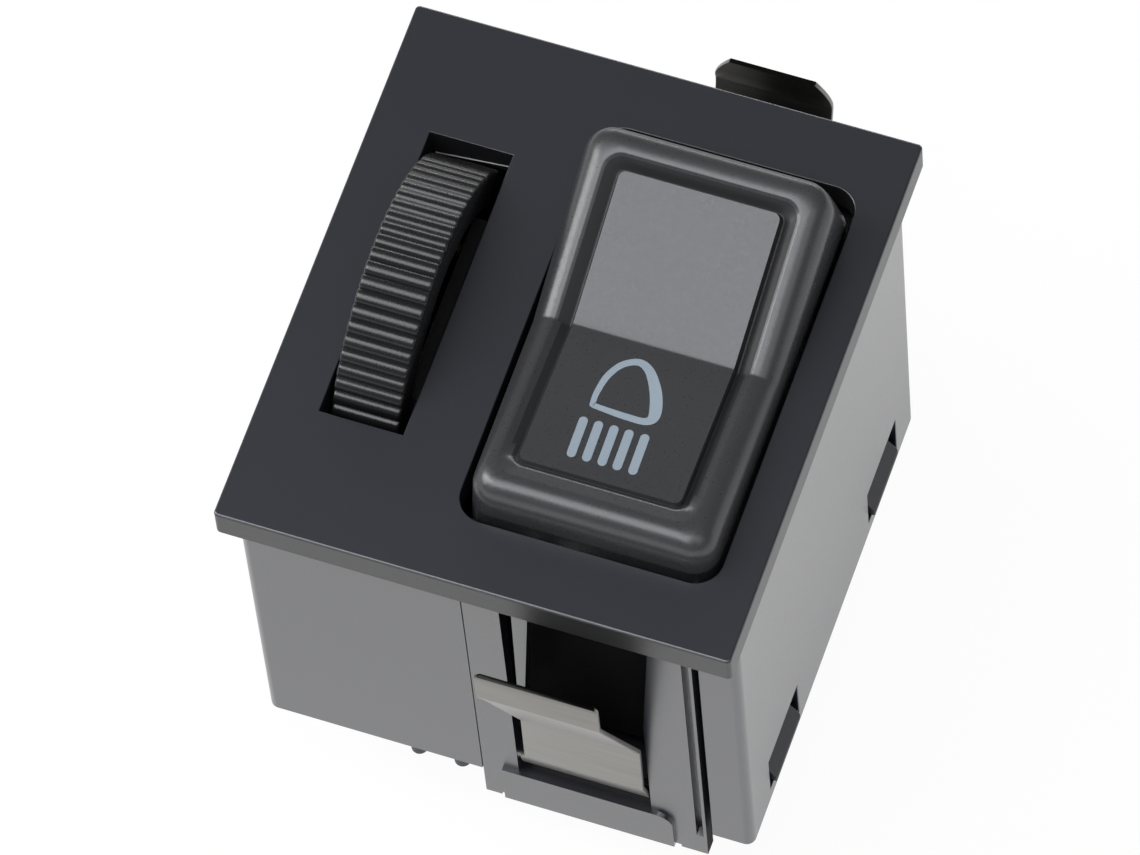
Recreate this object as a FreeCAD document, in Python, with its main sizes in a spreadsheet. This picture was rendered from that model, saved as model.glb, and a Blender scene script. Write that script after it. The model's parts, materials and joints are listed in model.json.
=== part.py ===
import FreeCAD, Part
import os
import re

import Sketcher

# Headlight switch: a face plate with a rocker and a dimmer thumbwheel, on a box-shaped housing.
# Row frame: +Z is the outward normal of the face plate, +X its right side, +Y its upper side.
# The switch stands on the rim of its connector socket, at z = 0, with the housing centred on Z.

doc = FreeCAD.newDocument("HeadlightSwitch")
sizes = doc.addObject("Spreadsheet::Sheet", "Sizes")

# Driving dimensions, in millimetres, degrees and counts: name, value, what it sets.
DIMENSIONS = [
    ("left_margin", 6.2, "face plate, from its left edge to the thumbwheel slot"),
    ("middle_web", 7.53, "face plate, between the slot and the rocker opening"),
    ("right_margin", 4.1, "face plate, from the rocker opening to its right edge"),
    ("end_margin", 7.2, "face plate, above and below the rocker opening"),
    ("plate_depth", 3.8, "thickness of the face plate"),
    ("plate_shift", 0.7, "how far the plate and rocker sit above the housing centre"),
    ("plate_corner", 0.5, "corner radius of the plate outline"),
    ("plate_edge", 0.15, "bevel of the plate's front edge"),
    ("plate_side", 0.6, "how far the plate stands past the housing's side walls"),
    ("plate_end", 4.1, "how far the plate stands past the end walls, on average"),
    ("body_depth", 46.4, "housing walls, from the plate to their rear edge"),
    ("body_corner", 1.0, "radius of the housing's long corners"),
    ("body_wall", 2.0, "wall of the housing box"),
    ("socket_reach", 11.8, "how far the connector socket stands behind the housing walls"),
    ("fit_gap", 0.1, "gap between moulded parts that are pushed together"),
    ("opening_width", 27.3, "rocker opening in the plate"),
    ("opening_height", 46.2, "rocker opening in the plate"),
    ("opening_corner", 2.8, "corner radius of the rocker opening"),
    ("pivot_depth", 6.2, "rocker pivot, below the plate's face"),
    ("rocker_tilt", 6.9, "tilt of the rocker to either side of level"),
    ("facet_angle", 11.8, "slope of each half of the rocker face"),
    ("knee_height", 9.7, "valley between the halves, above the pivot"),
    ("cap_side_gap", 0.5, "rocker to the side of its opening"),
    ("cap_end_gap", 1.0, "rocker to the end of its opening, when level"),
    ("cap_lean", 1.1, "how far each end wall leans in over its height"),
    ("cap_skirt", 2.2, "lower rim of the rocker, above the pivot"),
    ("cap_corner", 3.4, "radius of the rocker's upright corners"),
    ("cap_shoulder", 3.0, "rounding round the rocker face"),
    ("valley_radius", 1.0, "rounding between the two halves of the rocker face"),
    ("cap_wall", 1.8, "wall of the rocker"),
    ("cap_roof", 2.1, "rocker's wall at its ends' upper edges, measured down"),
    ("pad_width", 17.4, "raised field on the rocker face"),
    ("pad_reach", 16.5, "raised field, from the valley to its end"),
    ("moat_width", 1.2, "channel round the raised field"),
    ("moat_depth", 0.5, "depth of that channel"),
    ("moat_lift", 0.2, "height over the face that the channel is cut from, to clear the valley's rounding"),
    ("pin_radius", 1.25, "pivot pins"),
    ("pin_play", 0.05, "radial play of a pin or axle where something turns on it"),
    ("pin_seat", 0.02, "radial play of a pin or axle in its seat"),
    ("lug_gap", 0.4, "pivot lug to the bearing ear"),
    ("lug_thick", 2.2, "thickness of a pivot lug"),
    ("lug_reach", 2.4, "pivot lug, from the bore to its edge"),
    ("ear_proud", 1.1, "how far a bearing ear stands in from the frame's side wall"),
    ("ear_thick", 1.8, "thickness of a bearing ear"),
    ("ear_half", 3.2, "half the width of a bearing ear"),
    ("ear_root", 8.0, "root of a bearing ear, below the frame's upper rim"),
    ("tube_radius", 2.7, "plunger tube under the rocker face"),
    ("tube_reach", 7.0, "plunger tube, below the pivot"),
    ("plunger_radius", 1.65, "detent plunger"),
    ("plunger_play", 0.07, "radial play of the plunger in its tube"),
    ("plunger_reach", 14.5, "tip of the plunger, below the pivot"),
    ("plunger_top", 3.0, "upper end of the plunger, below the pivot"),
    ("spring_wire", 0.36, "wire of the plunger spring"),
    ("spring_turns", 4.0, "turns of the plunger spring"),
    ("spring_room", 8.4, "length of the plunger spring"),
    ("frame_inset", 1.55, "side of the rocker frame, inside the edge of the rocker opening"),
    ("frame_relief", 0.3, "relief in the plate's underside over the rocker frame"),
    ("frame_wall", 1.6, "walls of the rocker frame"),
    ("frame_top", 1.4, "upper rim of the rocker frame, below the pivot"),
    ("frame_floor", 20.0, "underside of the rocker frame's floor, above the socket rim"),
    ("floor_thick", 2.0, "floor of the rocker frame"),
    ("cell_inset", 1.6, "end of the contact chamber, inside the edge of the rocker opening"),
    ("window_left", 8.15, "clip window, left of the rocker's middle"),
    ("window_right", 7.55, "clip window, right of the rocker's middle"),
    ("window_top", 52.2, "upper edge of the clip window, above the socket rim"),
    ("window_taper", 1.3, "how far the window's right edge comes in towards its lower end"),
    ("taper_low", 33.0, "where that taper ends, above the socket rim"),
    ("foot_height", 6.7, "lower end of the frame's legs, above the socket rim"),
    ("leg_left", 1.75, "left leg below the crossbar, width"),
    ("leg_right", 2.9, "right leg below the crossbar, width"),
    ("bar_start", 0.5, "crossbar past the left leg's edge"),
    ("bar_stop", 0.6, "crossbar to the right leg's edge"),
    ("bar_corner", 1.8, "corner radius at the crossbar's upper right"),
    ("bar_low", 7.2, "lower edge of the crossbar, above the socket rim"),
    ("bar_high", 13.8, "upper edge of the crossbar, above the socket rim"),
    ("bar_proud", 0.5, "how far the crossbar stands out of the legs"),
    ("groove_start", 11.0, "groove in the right leg, from the rocker's middle"),
    ("groove_width", 0.75, "groove in the right leg"),
    ("groove_depth", 1.0, "groove in the right leg"),
    ("groove_low", 10.7, "lower end of the groove, above the socket rim"),
    ("finger_inset", 0.02, "finger beside each clip, inside the wall's face"),
    ("finger_deep", 1.5, "depth of the finger"),
    ("finger_end", 27.0, "lower end of the finger, above the socket rim"),
    ("finger_low_gap", 0.85, "window's left edge to the finger at its lower end"),
    ("finger_low_width", 0.5, "width of the finger at its lower end"),
    ("finger_high_gap", 1.35, "window's left edge to the finger at its root"),
    ("finger_high_width", 1.8, "width of the finger at its root"),
    ("finger_sink", 0.4, "how far the finger runs into the wall over its window"),
    ("cutout_gap", 0.65, "right side of the frame to the housing"),
    ("clip_left", 7.1, "spring clips, left of the rocker's middle"),
    ("clip_right", 6.3, "spring clips, right of the rocker's middle"),
    ("tongue_cut", 0.6, "how far the tongue's right edge stays inside the lip's"),
    ("lip_cut", 0.5, "how far the lip's left edge stays inside the tongue's"),
    ("cut_level", 47.0, "where these edges step, above the socket rim"),
    ("clip_sheet", 0.5, "sheet of the spring clips"),
    ("clip_gap", 0.05, "clip root to the crossbar"),
    ("root_low", 8.6, "lower end of the clip, above the socket rim"),
    ("root_high", 14.6, "where the clip leaves the crossbar"),
    ("tongue_low", 16.0, "lower end of the clip's tongue"),
    ("tongue_out", 0.1, "tongue past the housing wall at its lower end"),
    ("knee_z", 31.0, "bend between tongue and ramp"),
    ("knee_out", 2.0, "that bend, past the housing wall"),
    ("ramp_z", 52.7, "bend between ramp and lip"),
    ("ramp_out", 11.1, "that bend, past the housing wall"),
    ("lip_z", 58.3, "free edge of the lip"),
    ("clip_bend", 0.7, "inner radius of the clip's bends"),
    ("upper_lip_cut", 1.8, "cut corners of the upper clip's lip"),
    ("lower_lip_cut", 0.4, "cut corners of the lower clip's lip"),
    ("bar_axis", 39.6, "tipping axis of the contact bar, above the socket rim"),
    ("bar_tilt", 8.0, "tilt of the contact bar to either side of level"),
    ("bar_half", 12.0, "half the length of the contact bar"),
    ("bar_width", 6.0, "width of the contact bar"),
    ("bar_sheet", 0.8, "thickness of the contact bar"),
    ("hub_half", 2.0, "half the length of the bar's saddle"),
    ("hub_low", 2.0, "lower end of the saddle, below its axis"),
    ("hub_high", 1.4, "top of the saddle, above its axis"),
    ("hub_width", 4.4, "width of the saddle"),
    ("head_radius", 0.9, "rounded head that the bar tips on"),
    ("head_width", 3.6, "width of that head"),
    ("neck_sheet", 0.6, "neck below that head"),
    ("neck_room", 1.5, "slot in the saddle for the neck"),
    ("rivet_place", 10.8, "contact rivets, from the bar's axis"),
    ("rivet_radius", 1.3, "contact rivets"),
    ("rivet_height", 0.6, "contact rivets on the bar"),
    ("anvil_height", 0.5, "contact rivets on the fixed contacts"),
    ("contact_gap", 0.3, "closed contact pair at rest"),
    ("blade_width", 4.8, "terminal blades"),
    ("blade_sheet", 0.8, "terminal blades"),
    ("blade_low", 2.5, "tips of the blades, above the socket rim"),
    ("blade_room", 0.15, "slot round a blade, each side"),
    ("outer_blade", 12.4, "outer blades, from the middle blade"),
    ("tab_reach", 3.6, "length of a fixed contact's folded top"),
    ("neck_start", 33.0, "where the middle blade narrows to its neck"),
    ("base_low", 12.8, "underside of the rear base, above the socket rim"),
    ("base_thick", 3.0, "rear base"),
    ("base_gap", 0.3, "rear base to the housing walls"),
    ("socket_width", 30.0, "connector socket, outside"),
    ("socket_height", 35.0, "connector socket, outside"),
    ("socket_wall", 1.5, "wall of the connector socket"),
    ("key_width", 1.6, "key rib in the socket"),
    ("key_depth", 1.2, "key rib in the socket"),
    ("rail_inner", 7.0, "rails under the rocker frame, from its middle"),
    ("rail_width", 2.0, "rails under the rocker frame"),
    ("rail_short", 3.5, "end of a rail, inside the end of the contact chamber"),
    ("peg_radius", 0.9, "locating pegs under the rear base"),
    ("peg_length", 8.2, "locating pegs under the rear base"),
    ("peg_clear", 8.65, "first peg, left of the rocker frame"),
    ("peg_step", 4.75, "second peg, from the first"),
    ("peg_inset", 3.4, "pegs, from the housing's lower wall face"),
    ("snap_width", 9.2, "snap windows in the side walls"),
    ("snap_low", 13.9, "lower edge of the snap windows, above the socket rim"),
    ("snap_high", 20.2, "upper edge of the snap windows"),
    ("snap_upper_inset", 10.0, "middle of the upper snap window, from the housing's upper wall"),
    ("snap_lower_inset", 10.5, "middle of the lower snap window, from the housing's lower wall"),
    ("barb_width", 7.6, "snap barbs of the rear base"),
    ("barb_proud", 0.4, "how far a barb stands out of the wall"),
    ("barb_rise", 5.2, "height of a barb"),
    ("barb_edge", 1.0, "height of a barb's outer edge"),
    ("barb_sink", 0.2, "root of a barb in its arm"),
    ("overrun", 0.5, "how far a cut or a root runs past the face it starts from"),
    ("arm_thick", 1.2, "snap arms of the rear base"),
    ("arm_high", 20.4, "upper end of the snap arms, above the socket rim"),
    ("wheel_shift", 0.25, "thumbwheel axle above the rocker's middle"),
    ("wheel_radius", 17.2, "thumbwheel over its ribs"),
    ("wheel_width", 7.2, "thumbwheel"),
    ("axle_depth", 9.6, "thumbwheel axle, below the plate's face"),
    ("slot_left", 0.6, "thumbwheel to the slot's left edge"),
    ("slot_right", 1.07, "thumbwheel to the slot's right edge"),
    ("slot_end", 0.35, "thumbwheel to each end of its slot, at the plate's underside"),
    ("rib_count", 68, "rib pitches in a full turn of the thumbwheel"),
    ("rib_cuts", 61, "grooves cut between the ribs"),
    ("rib_first", 45.0, "first groove, turned from the top towards the plate's upper edge"),
    ("rib_height", 0.4, "depth of the grooves"),
    ("rib_over", 0.1, "where the grooves' cutter starts, outside the rim"),
    ("rib_mouth", 0.92, "groove width at the rim"),
    ("rib_root", 0.6, "groove width at its floor"),
    ("rim_wall", 3.8, "thumbwheel's rim, outside the recess in its right side"),
    ("dish_depth", 4.4, "recess in the thumbwheel's right side"),
    ("hub_radius", 3.6, "thumbwheel hub"),
    ("hub_step", 2.0, "hub below the wheel's right face"),
    ("axle_radius", 2.0, "thumbwheel axle"),
    ("axle_head", 3.0, "axle head radius"),
    ("axle_head_thick", 0.8, "axle head"),
    ("cheek_left", 0.8, "wheel to the left cheek"),
    ("cheek_right", 1.1, "wheel to the right cheek"),
    ("cheek_thick", 1.8, "cheeks of the dimmer carrier"),
    ("cheek_half", 11.0, "half the width of the cheeks"),
    ("bridge_low", 30.0, "underside of the bridge between the cheeks"),
    ("bridge_thick", 2.0, "bridge between the cheeks"),
    ("washer_thick", 0.5, "friction washer"),
    ("washer_radius", 5.5, "friction washer"),
    ("washer_gap", 0.1, "washer to the left cheek"),
    ("disc_clear", 1.4, "rheostat disc to the wheel's recess"),
    ("disc_thick", 2.3, "rheostat disc"),
    ("track_inset", 1.5, "resistance winding, inside the rheostat disc's edge"),
    ("track_width", 2.0, "resistance winding"),
    ("track_thick", 0.7, "resistance winding"),
    ("track_start", 10.0, "first end of the winding, turned up from the wiper at rest"),
    ("track_angle", 100.0, "resistance winding, as an arc"),
    ("wiper_width", 2.6, "wiper"),
    ("wiper_sheet", 0.6, "wiper"),
    ("wiper_gap", 0.2, "wiper's inner end to the wheel's hub"),
    ("wiper_past", 0.1, "wiper's outer end, past the winding"),
    ("dimple_radius", 0.9, "contact dimple of the wiper"),
    ("dimple_gap", 0.3, "dimple to the winding"),
    ("link_place", 6.0, "dimmer terminals, from the axle"),
    ("link_drop", 4.4, "terminal rivets, below the axle"),
    ("link_over", 2.0, "terminal above its rivet"),
    ("link_rivet", 1.0, "terminal rivets"),
    ("link_depth", 1.0, "terminal rivet in the rheostat disc"),
    ("link_room", 0.2, "rivet hole in the disc, past the rivet's end"),
]

# Sizes and places that follow from the driving dimensions, each as a formula over the names above.
DERIVED = {
    "plate_width": "left_margin + slot_left + wheel_width + slot_right + middle_web + opening_width"
                   " + right_margin",
    "plate_height": "opening_height + 2 * end_margin",
    "body_width": "plate_width - 2 * plate_side",
    "body_height": "plate_height - 2 * plate_end",
    "rocker_x": "plate_width / 2 - right_margin - opening_width / 2",
    "wheel_x": "left_margin + slot_left + wheel_width / 2 - plate_width / 2",
    "frame_half": "opening_width / 2 - frame_inset",
    "cell_half": "opening_height / 2 - cell_inset",
    "ear_inner": "frame_half - frame_wall - ear_proud",
    "lug_inner": "ear_inner - lug_gap - lug_thick",
    "rail_half": "cell_half - rail_short",
    "peg_first": "rocker_x - frame_half - peg_clear",
    "snap_upper": "body_height / 2 - snap_upper_inset",
    "snap_lower": "body_height / 2 - snap_lower_inset",
    "slot_length": "2 * sqrt(wheel_radius ^ 2 - (axle_depth - plate_depth) ^ 2) + 2 * slot_end",
    "dish_radius": "wheel_radius - rim_wall",
    "disc_radius": "dish_radius - disc_clear",
    "track_outer": "disc_radius - track_inset",
    "track_inner": "track_outer - track_width",
    "wiper_start": "hub_radius + wiper_gap",
    "wiper_end": "track_outer + wiper_past",
    "dimple_place": "(track_inner + track_outer) / 2",
    "seat": "socket_reach + body_depth",
    "face": "seat + plate_depth",
    "pivot": "face - pivot_depth",
    "axle": "face - axle_depth",
    "frame_rim": "pivot - frame_top",
    "wheel_y": "plate_shift + wheel_shift",
    "cheek_left_face": "-wheel_width / 2 - cheek_left",
    "cheek_right_face": "wheel_width / 2 + cheek_right",
    "base_top": "base_low + base_thick",
}

for row, (name, number, note) in enumerate(DIMENSIONS, start=1):
    sizes.set("A%d" % row, name.replace("_", " "))
    sizes.set("B%d" % row, str(number))
    sizes.setAlias("B%d" % row, name)
    sizes.set("C%d" % row, note)
doc.recompute()

def formula(text):
    """The text with derived names written out and each name of the sheet as a reference to its cell."""
    def written_out(word):
        name = word.group(0)
        if name in DERIVED:
            return "(" + formula(DERIVED[name]) + ")"
        return "Sizes." + name if sizes.getCellFromAlias(name) else name

    return re.sub(r"[a-z_]+", written_out, text)


def value(text):
    """The number that a formula gives now."""
    number = sizes.evalExpression(formula(text))
    return float(getattr(number, "Value", number))


def new_body(label, x="0", y="0", z="0", turn=None, axis=(1, 0, 0)):
    """A body with its label and a placement bound to the sheet."""
    body = doc.addObject("PartDesign::Body", label)
    body.Label = label
    if turn:
        spin = FreeCAD.Rotation(FreeCAD.Vector(*axis), value(turn))
        body.Placement = FreeCAD.Placement(FreeCAD.Vector(), spin)
        body.setExpression("Placement.Rotation.Angle", formula(turn))
    for letter, text in zip("xyz", (x, y, z)):
        body.setExpression("Placement.Base." + letter, formula(text))
    return body


def new_sketch(body, name, plane, offset="0", turn=None, axis=(1, 0, 0)):
    """A sketch on one of the body's own planes, moved along its normal and turned in place."""
    sketch = body.newObject("Sketcher::SketchObject", name)
    base = [item for item in body.Origin.OriginFeatures if item.Role == plane + "_Plane"][0]
    sketch.AttachmentSupport = [(base, "")]
    sketch.MapMode = "FlatFace"
    if turn:
        spin = FreeCAD.Rotation(FreeCAD.Vector(*axis), value(turn))
        sketch.AttachmentOffset = FreeCAD.Placement(FreeCAD.Vector(), spin)
        sketch.setExpression("AttachmentOffset.Rotation.Angle", formula(turn))
    sketch.setExpression("AttachmentOffset.Base.z", formula(offset))
    return sketch


def pin_point(sketch, geometry, end, point):
    """Dimension one point of the sketch from its origin, along both axes."""
    for kind, line, text in (("DistanceX", -2, point[0]), ("DistanceY", -1, point[1])):
        if text == "0":
            sketch.addConstraint(Sketcher.Constraint("PointOnObject", geometry, end, line))
        else:
            number = sketch.addConstraint(Sketcher.Constraint(kind, -1, 1, geometry, end, value(text)))
            sketch.setExpression("Constraints[%d]" % number, formula(text))


def polygon(sketch, points):
    """A closed outline of straight lines, each corner dimensioned by a pair of formulas."""
    corners = [FreeCAD.Vector(value(x), value(y), 0) for x, y in points]
    first = sketch.GeometryCount
    count = len(points)
    for index in range(count):
        sketch.addGeometry(Part.LineSegment(corners[index], corners[(index + 1) % count]), False)
    for index in range(count):
        following = first + (index + 1) % count
        sketch.addConstraint(Sketcher.Constraint("Coincident", first + index, 2, following, 1))
    for index, point in enumerate(points):
        pin_point(sketch, first + index, 1, point)
    return sketch


def rectangle(sketch, left, low, right, high):
    """A rectangle from its lower left to its upper right corner."""
    return polygon(sketch, [(left, low), (right, low), (right, high), (left, high)])


def circle(sketch, x, y, radius):
    """A circle by its centre and radius."""
    centre = FreeCAD.Vector(value(x), value(y), 0)
    index = sketch.addGeometry(Part.Circle(centre, FreeCAD.Vector(0, 0, 1), value(radius)), False)
    pin_point(sketch, index, 3, (x, y))
    number = sketch.addConstraint(Sketcher.Constraint("Radius", index, value(radius)))
    sketch.setExpression("Constraints[%d]" % number, formula(radius))
    return sketch


def extrude(body, sketch, kind, length, symmetric, flip):
    feature = body.newObject("PartDesign::" + kind, sketch.Name + "_" + kind.lower())
    feature.Profile = sketch
    feature.SideType = "Symmetric" if symmetric else "One side"
    feature.Reversed = flip
    if length is None:
        feature.Type = "ThroughAll"
    else:
        feature.setExpression("Length", formula(length))
    return feature


def pad(body, sketch, length, symmetric=False, flip=False):
    """Material from the sketch along its normal, or the other way with flip."""
    feature = extrude(body, sketch, "Pad", length, symmetric, flip)
    doc.recompute()
    return feature


def pocket(body, sketch, length=None, symmetric=False, flip=False):
    """A cut from the sketch against its normal, or along it with flip; through all with no length."""
    before = body.Shape.Volume
    feature = extrude(body, sketch, "Pocket", length, symmetric, flip)
    doc.recompute()
    if not body.Shape.Volume < before - 1e-6:
        raise RuntimeError("%s removes nothing" % feature.Name)
    return feature


def round_edges(body, name, radius, test, kind="Fillet"):
    """A fillet, or a chamfer, on the edges that pass the test."""
    base = body.Tip
    edges = ["Edge%d" % number for number, edge in enumerate(base.Shape.Edges, start=1) if test(edge)]
    if not edges:
        raise RuntimeError("%s finds no edge" % name)
    feature = body.newObject("PartDesign::" + kind, name)
    feature.Base = (base, edges)
    feature.setExpression("Radius" if kind == "Fillet" else "Size", formula(radius))
    doc.recompute()
    return feature


def pattern(body, kind, name, originals, **properties):
    """A pattern or mirror of features, made the body's tip."""
    feature = body.newObject("PartDesign::" + kind, name)
    feature.Originals = originals
    for key, item in properties.items():
        setattr(feature, key, item)
    body.Tip = feature
    return feature


def origin_part(body, role):
    """One of the body's own planes or axes, as a link."""
    return ([item for item in body.Origin.OriginFeatures if item.Role == role][0], [""])


def runs_along(edge, axis):
    """True for a straight edge parallel to the axis."""
    if len(edge.Vertexes) < 2 or edge.Curve.TypeId != "Part::GeomLine":
        return False
    span = edge.Vertexes[1].Point - edge.Vertexes[0].Point
    return abs(abs(span.normalize() * FreeCAD.Vector(*axis)) - 1) < 1e-4


def near(number, target, room=0.02):
    return abs(number - target) < room


# Front housing: the face plate and the four walls are one moulding.
def front_housing():
    body = new_body("front_housing")
    low = "plate_shift - plate_height / 2"
    high = "plate_shift + plate_height / 2"
    plate = new_sketch(body, "plate", "XY", "seat")
    pad(body, rectangle(plate, "-plate_width / 2", low, "plate_width / 2", high), "plate_depth")
    round_edges(body, "plate_corners", "plate_corner", lambda edge: runs_along(edge, (0, 0, 1)))
    face = value("face")
    round_edges(body, "plate_rim", "plate_edge", lambda edge: near(edge.BoundBox.ZMin, face), kind="Chamfer")

    walls = new_sketch(body, "walls", "XY", "socket_reach")
    rectangle(walls, "-body_width / 2", "-body_height / 2", "body_width / 2", "body_height / 2")
    pad(body, walls, "body_depth")
    half = value("body_width / 2")
    round_edges(body, "wall_corners", "body_corner",
                lambda edge: runs_along(edge, (0, 0, 1)) and near(abs(edge.CenterOfMass.x), half))
    cavity = new_sketch(body, "cavity", "XY", "socket_reach")
    inner_x = "(body_width / 2 - body_wall)"
    inner_y = "(body_height / 2 - body_wall)"
    rectangle(cavity, "-" + inner_x, "-" + inner_y, inner_x, inner_y)
    pocket(body, cavity, "body_depth", flip=True)

    opening = new_sketch(body, "rocker_opening", "XY", "face")
    rectangle(opening, "rocker_x - opening_width / 2", "plate_shift - opening_height / 2",
              "rocker_x + opening_width / 2", "plate_shift + opening_height / 2")
    pocket(body, opening, "plate_depth")
    edge_x = [value("rocker_x - opening_width / 2"), value("rocker_x + opening_width / 2")]
    edge_y = value("opening_height / 2")
    middle = value("plate_shift")
    round_edges(body, "opening_corners", "opening_corner",
                lambda edge: runs_along(edge, (0, 0, 1)) and near(abs(edge.CenterOfMass.y - middle), edge_y)
                and min(abs(edge.CenterOfMass.x - side) for side in edge_x) < 0.02)

    slot = new_sketch(body, "wheel_slot", "XY", "face")
    rectangle(slot, "wheel_x - wheel_width / 2 - slot_left", "wheel_y - slot_length / 2",
              "wheel_x + wheel_width / 2 + slot_right", "wheel_y + slot_length / 2")
    pocket(body, slot, "plate_depth")

    cutout = new_sketch(body, "frame_cutout", "XZ")
    rectangle(cutout, "rocker_x - frame_half - fit_gap", "socket_reach - overrun",
              "rocker_x + frame_half + cutout_gap", "seat")
    pocket(body, cutout, symmetric=True)

    relief = new_sketch(body, "frame_relief_area", "XY", "seat")
    rectangle(relief, "rocker_x - frame_half - fit_gap", "-body_height / 2",
              "rocker_x + frame_half + cutout_gap", "body_height / 2")
    pocket(body, relief, "frame_relief", flip=True)

    windows = new_sketch(body, "snap_windows", "YZ")
    for middle_y in ("snap_upper", "-snap_lower"):
        rectangle(windows, middle_y + " - snap_width / 2", "snap_low",
                  middle_y + " + snap_width / 2", "snap_high")
    pocket(body, windows, symmetric=True)


# Rocker frame: a chamber for the contacts, bearing ears and the two end walls that carry the clips.
def rocker_frame():
    body = new_body("rocker_frame", "rocker_x")
    outer = new_sketch(body, "frame_block", "XY", "frame_floor")
    rectangle(outer, "-frame_half", "-body_height / 2", "frame_half", "body_height / 2")
    pad(body, outer, "frame_rim - frame_floor")

    inside = "(frame_half - frame_wall)"
    chamber = new_sketch(body, "chamber", "XY", "frame_rim")
    cell = "(cell_half - frame_wall)"
    rectangle(chamber, "-" + inside, "-" + cell, inside, cell)
    pocket(body, chamber, "frame_rim - frame_floor - floor_thick")

    bays = new_sketch(body, "clip_bays", "XY", "frame_rim")
    back = "(body_height / 2 - frame_wall)"
    rectangle(bays, "-" + inside, "-" + back, inside, "-cell_half")
    rectangle(bays, "-" + inside, "cell_half", inside, back)
    pocket(body, bays)

    for side, flip in ((1, True), (-1, False)):
        tag = "lower" if side > 0 else "upper"
        face = "%d * body_height / 2" % side
        legs = new_sketch(body, tag + "_legs", "XZ", face)
        polygon(legs, [("-frame_half", "foot_height"), ("-frame_half + leg_left", "foot_height"),
                       ("-frame_half + leg_left", "bar_low"), ("frame_half - leg_right", "bar_low"),
                       ("frame_half - leg_right", "foot_height"), ("frame_half", "foot_height"),
                       ("frame_half", "frame_floor"), ("-frame_half", "frame_floor")])
        pad(body, legs, "frame_wall", flip=flip)
        window = new_sketch(body, tag + "_window", "XZ", face)
        polygon(window, [("-window_left", "bar_high"), ("window_right - window_taper", "bar_high"),
                         ("window_right - window_taper", "taper_low"), ("window_right", "window_top"),
                         ("-window_left", "window_top")])
        pocket(body, window, "frame_wall", flip=not flip)
        bar = new_sketch(body, tag + "_crossbar", "XZ", face)
        rectangle(bar, "-frame_half + leg_left + bar_start", "bar_low",
                  "frame_half - leg_right - bar_stop", "bar_high")
        pad(body, bar, "bar_proud", flip=not flip)
        bar_end = value("frame_half - leg_right - bar_stop")
        bar_level = value("bar_high")
        round_edges(body, tag + "_bar_corner", "bar_corner", lambda edge: runs_along(edge, (0, 1, 0))
                    and near(edge.CenterOfMass.x, bar_end) and near(edge.CenterOfMass.z, bar_level))
        groove = new_sketch(body, tag + "_groove", "XZ", face)
        rectangle(groove, "groove_start", "groove_low", "groove_start + groove_width", "seat")
        pocket(body, groove, "groove_depth", flip=not flip)
        finger = new_sketch(body, tag + "_finger", "XZ", "%d * (body_height / 2 - finger_inset)" % side)
        polygon(finger, [("-window_left + finger_low_gap", "finger_end"),
                         ("-window_left + finger_high_gap", "window_top + finger_sink"),
                         ("-window_left + finger_high_gap + finger_high_width", "window_top + finger_sink"),
                         ("-window_left + finger_low_gap + finger_low_width", "finger_end")])
        pad(body, finger, "finger_deep", flip=flip)

    ears = new_sketch(body, "ears", "YZ", "ear_inner")
    rectangle(ears, "plate_shift - ear_half", "frame_rim - ear_root",
              "plate_shift + ear_half", "seat - fit_gap")
    ear = pad(body, ears, "ear_thick")
    bores = new_sketch(body, "ear_bores", "YZ", "ear_inner")
    circle(bores, "plate_shift", "pivot", "pin_radius + pin_seat")
    bore = pocket(body, bores, "ear_thick", flip=True)
    pattern(body, "Mirrored", "ear_pair", [ear, bore], MirrorPlane=origin_part(body, "YZ_Plane"))
    doc.recompute()

    slots = new_sketch(body, "blade_slots", "XY", "frame_floor")
    half_x = "(blade_width / 2 + blade_room)"
    half_y = "(blade_sheet / 2 + blade_room)"
    for place in ("plate_shift - outer_blade", "plate_shift", "plate_shift + outer_blade"):
        rectangle(slots, "-" + half_x, place + " - " + half_y, half_x, place + " + " + half_y)
    pocket(body, slots, "floor_thick", flip=True)


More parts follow.
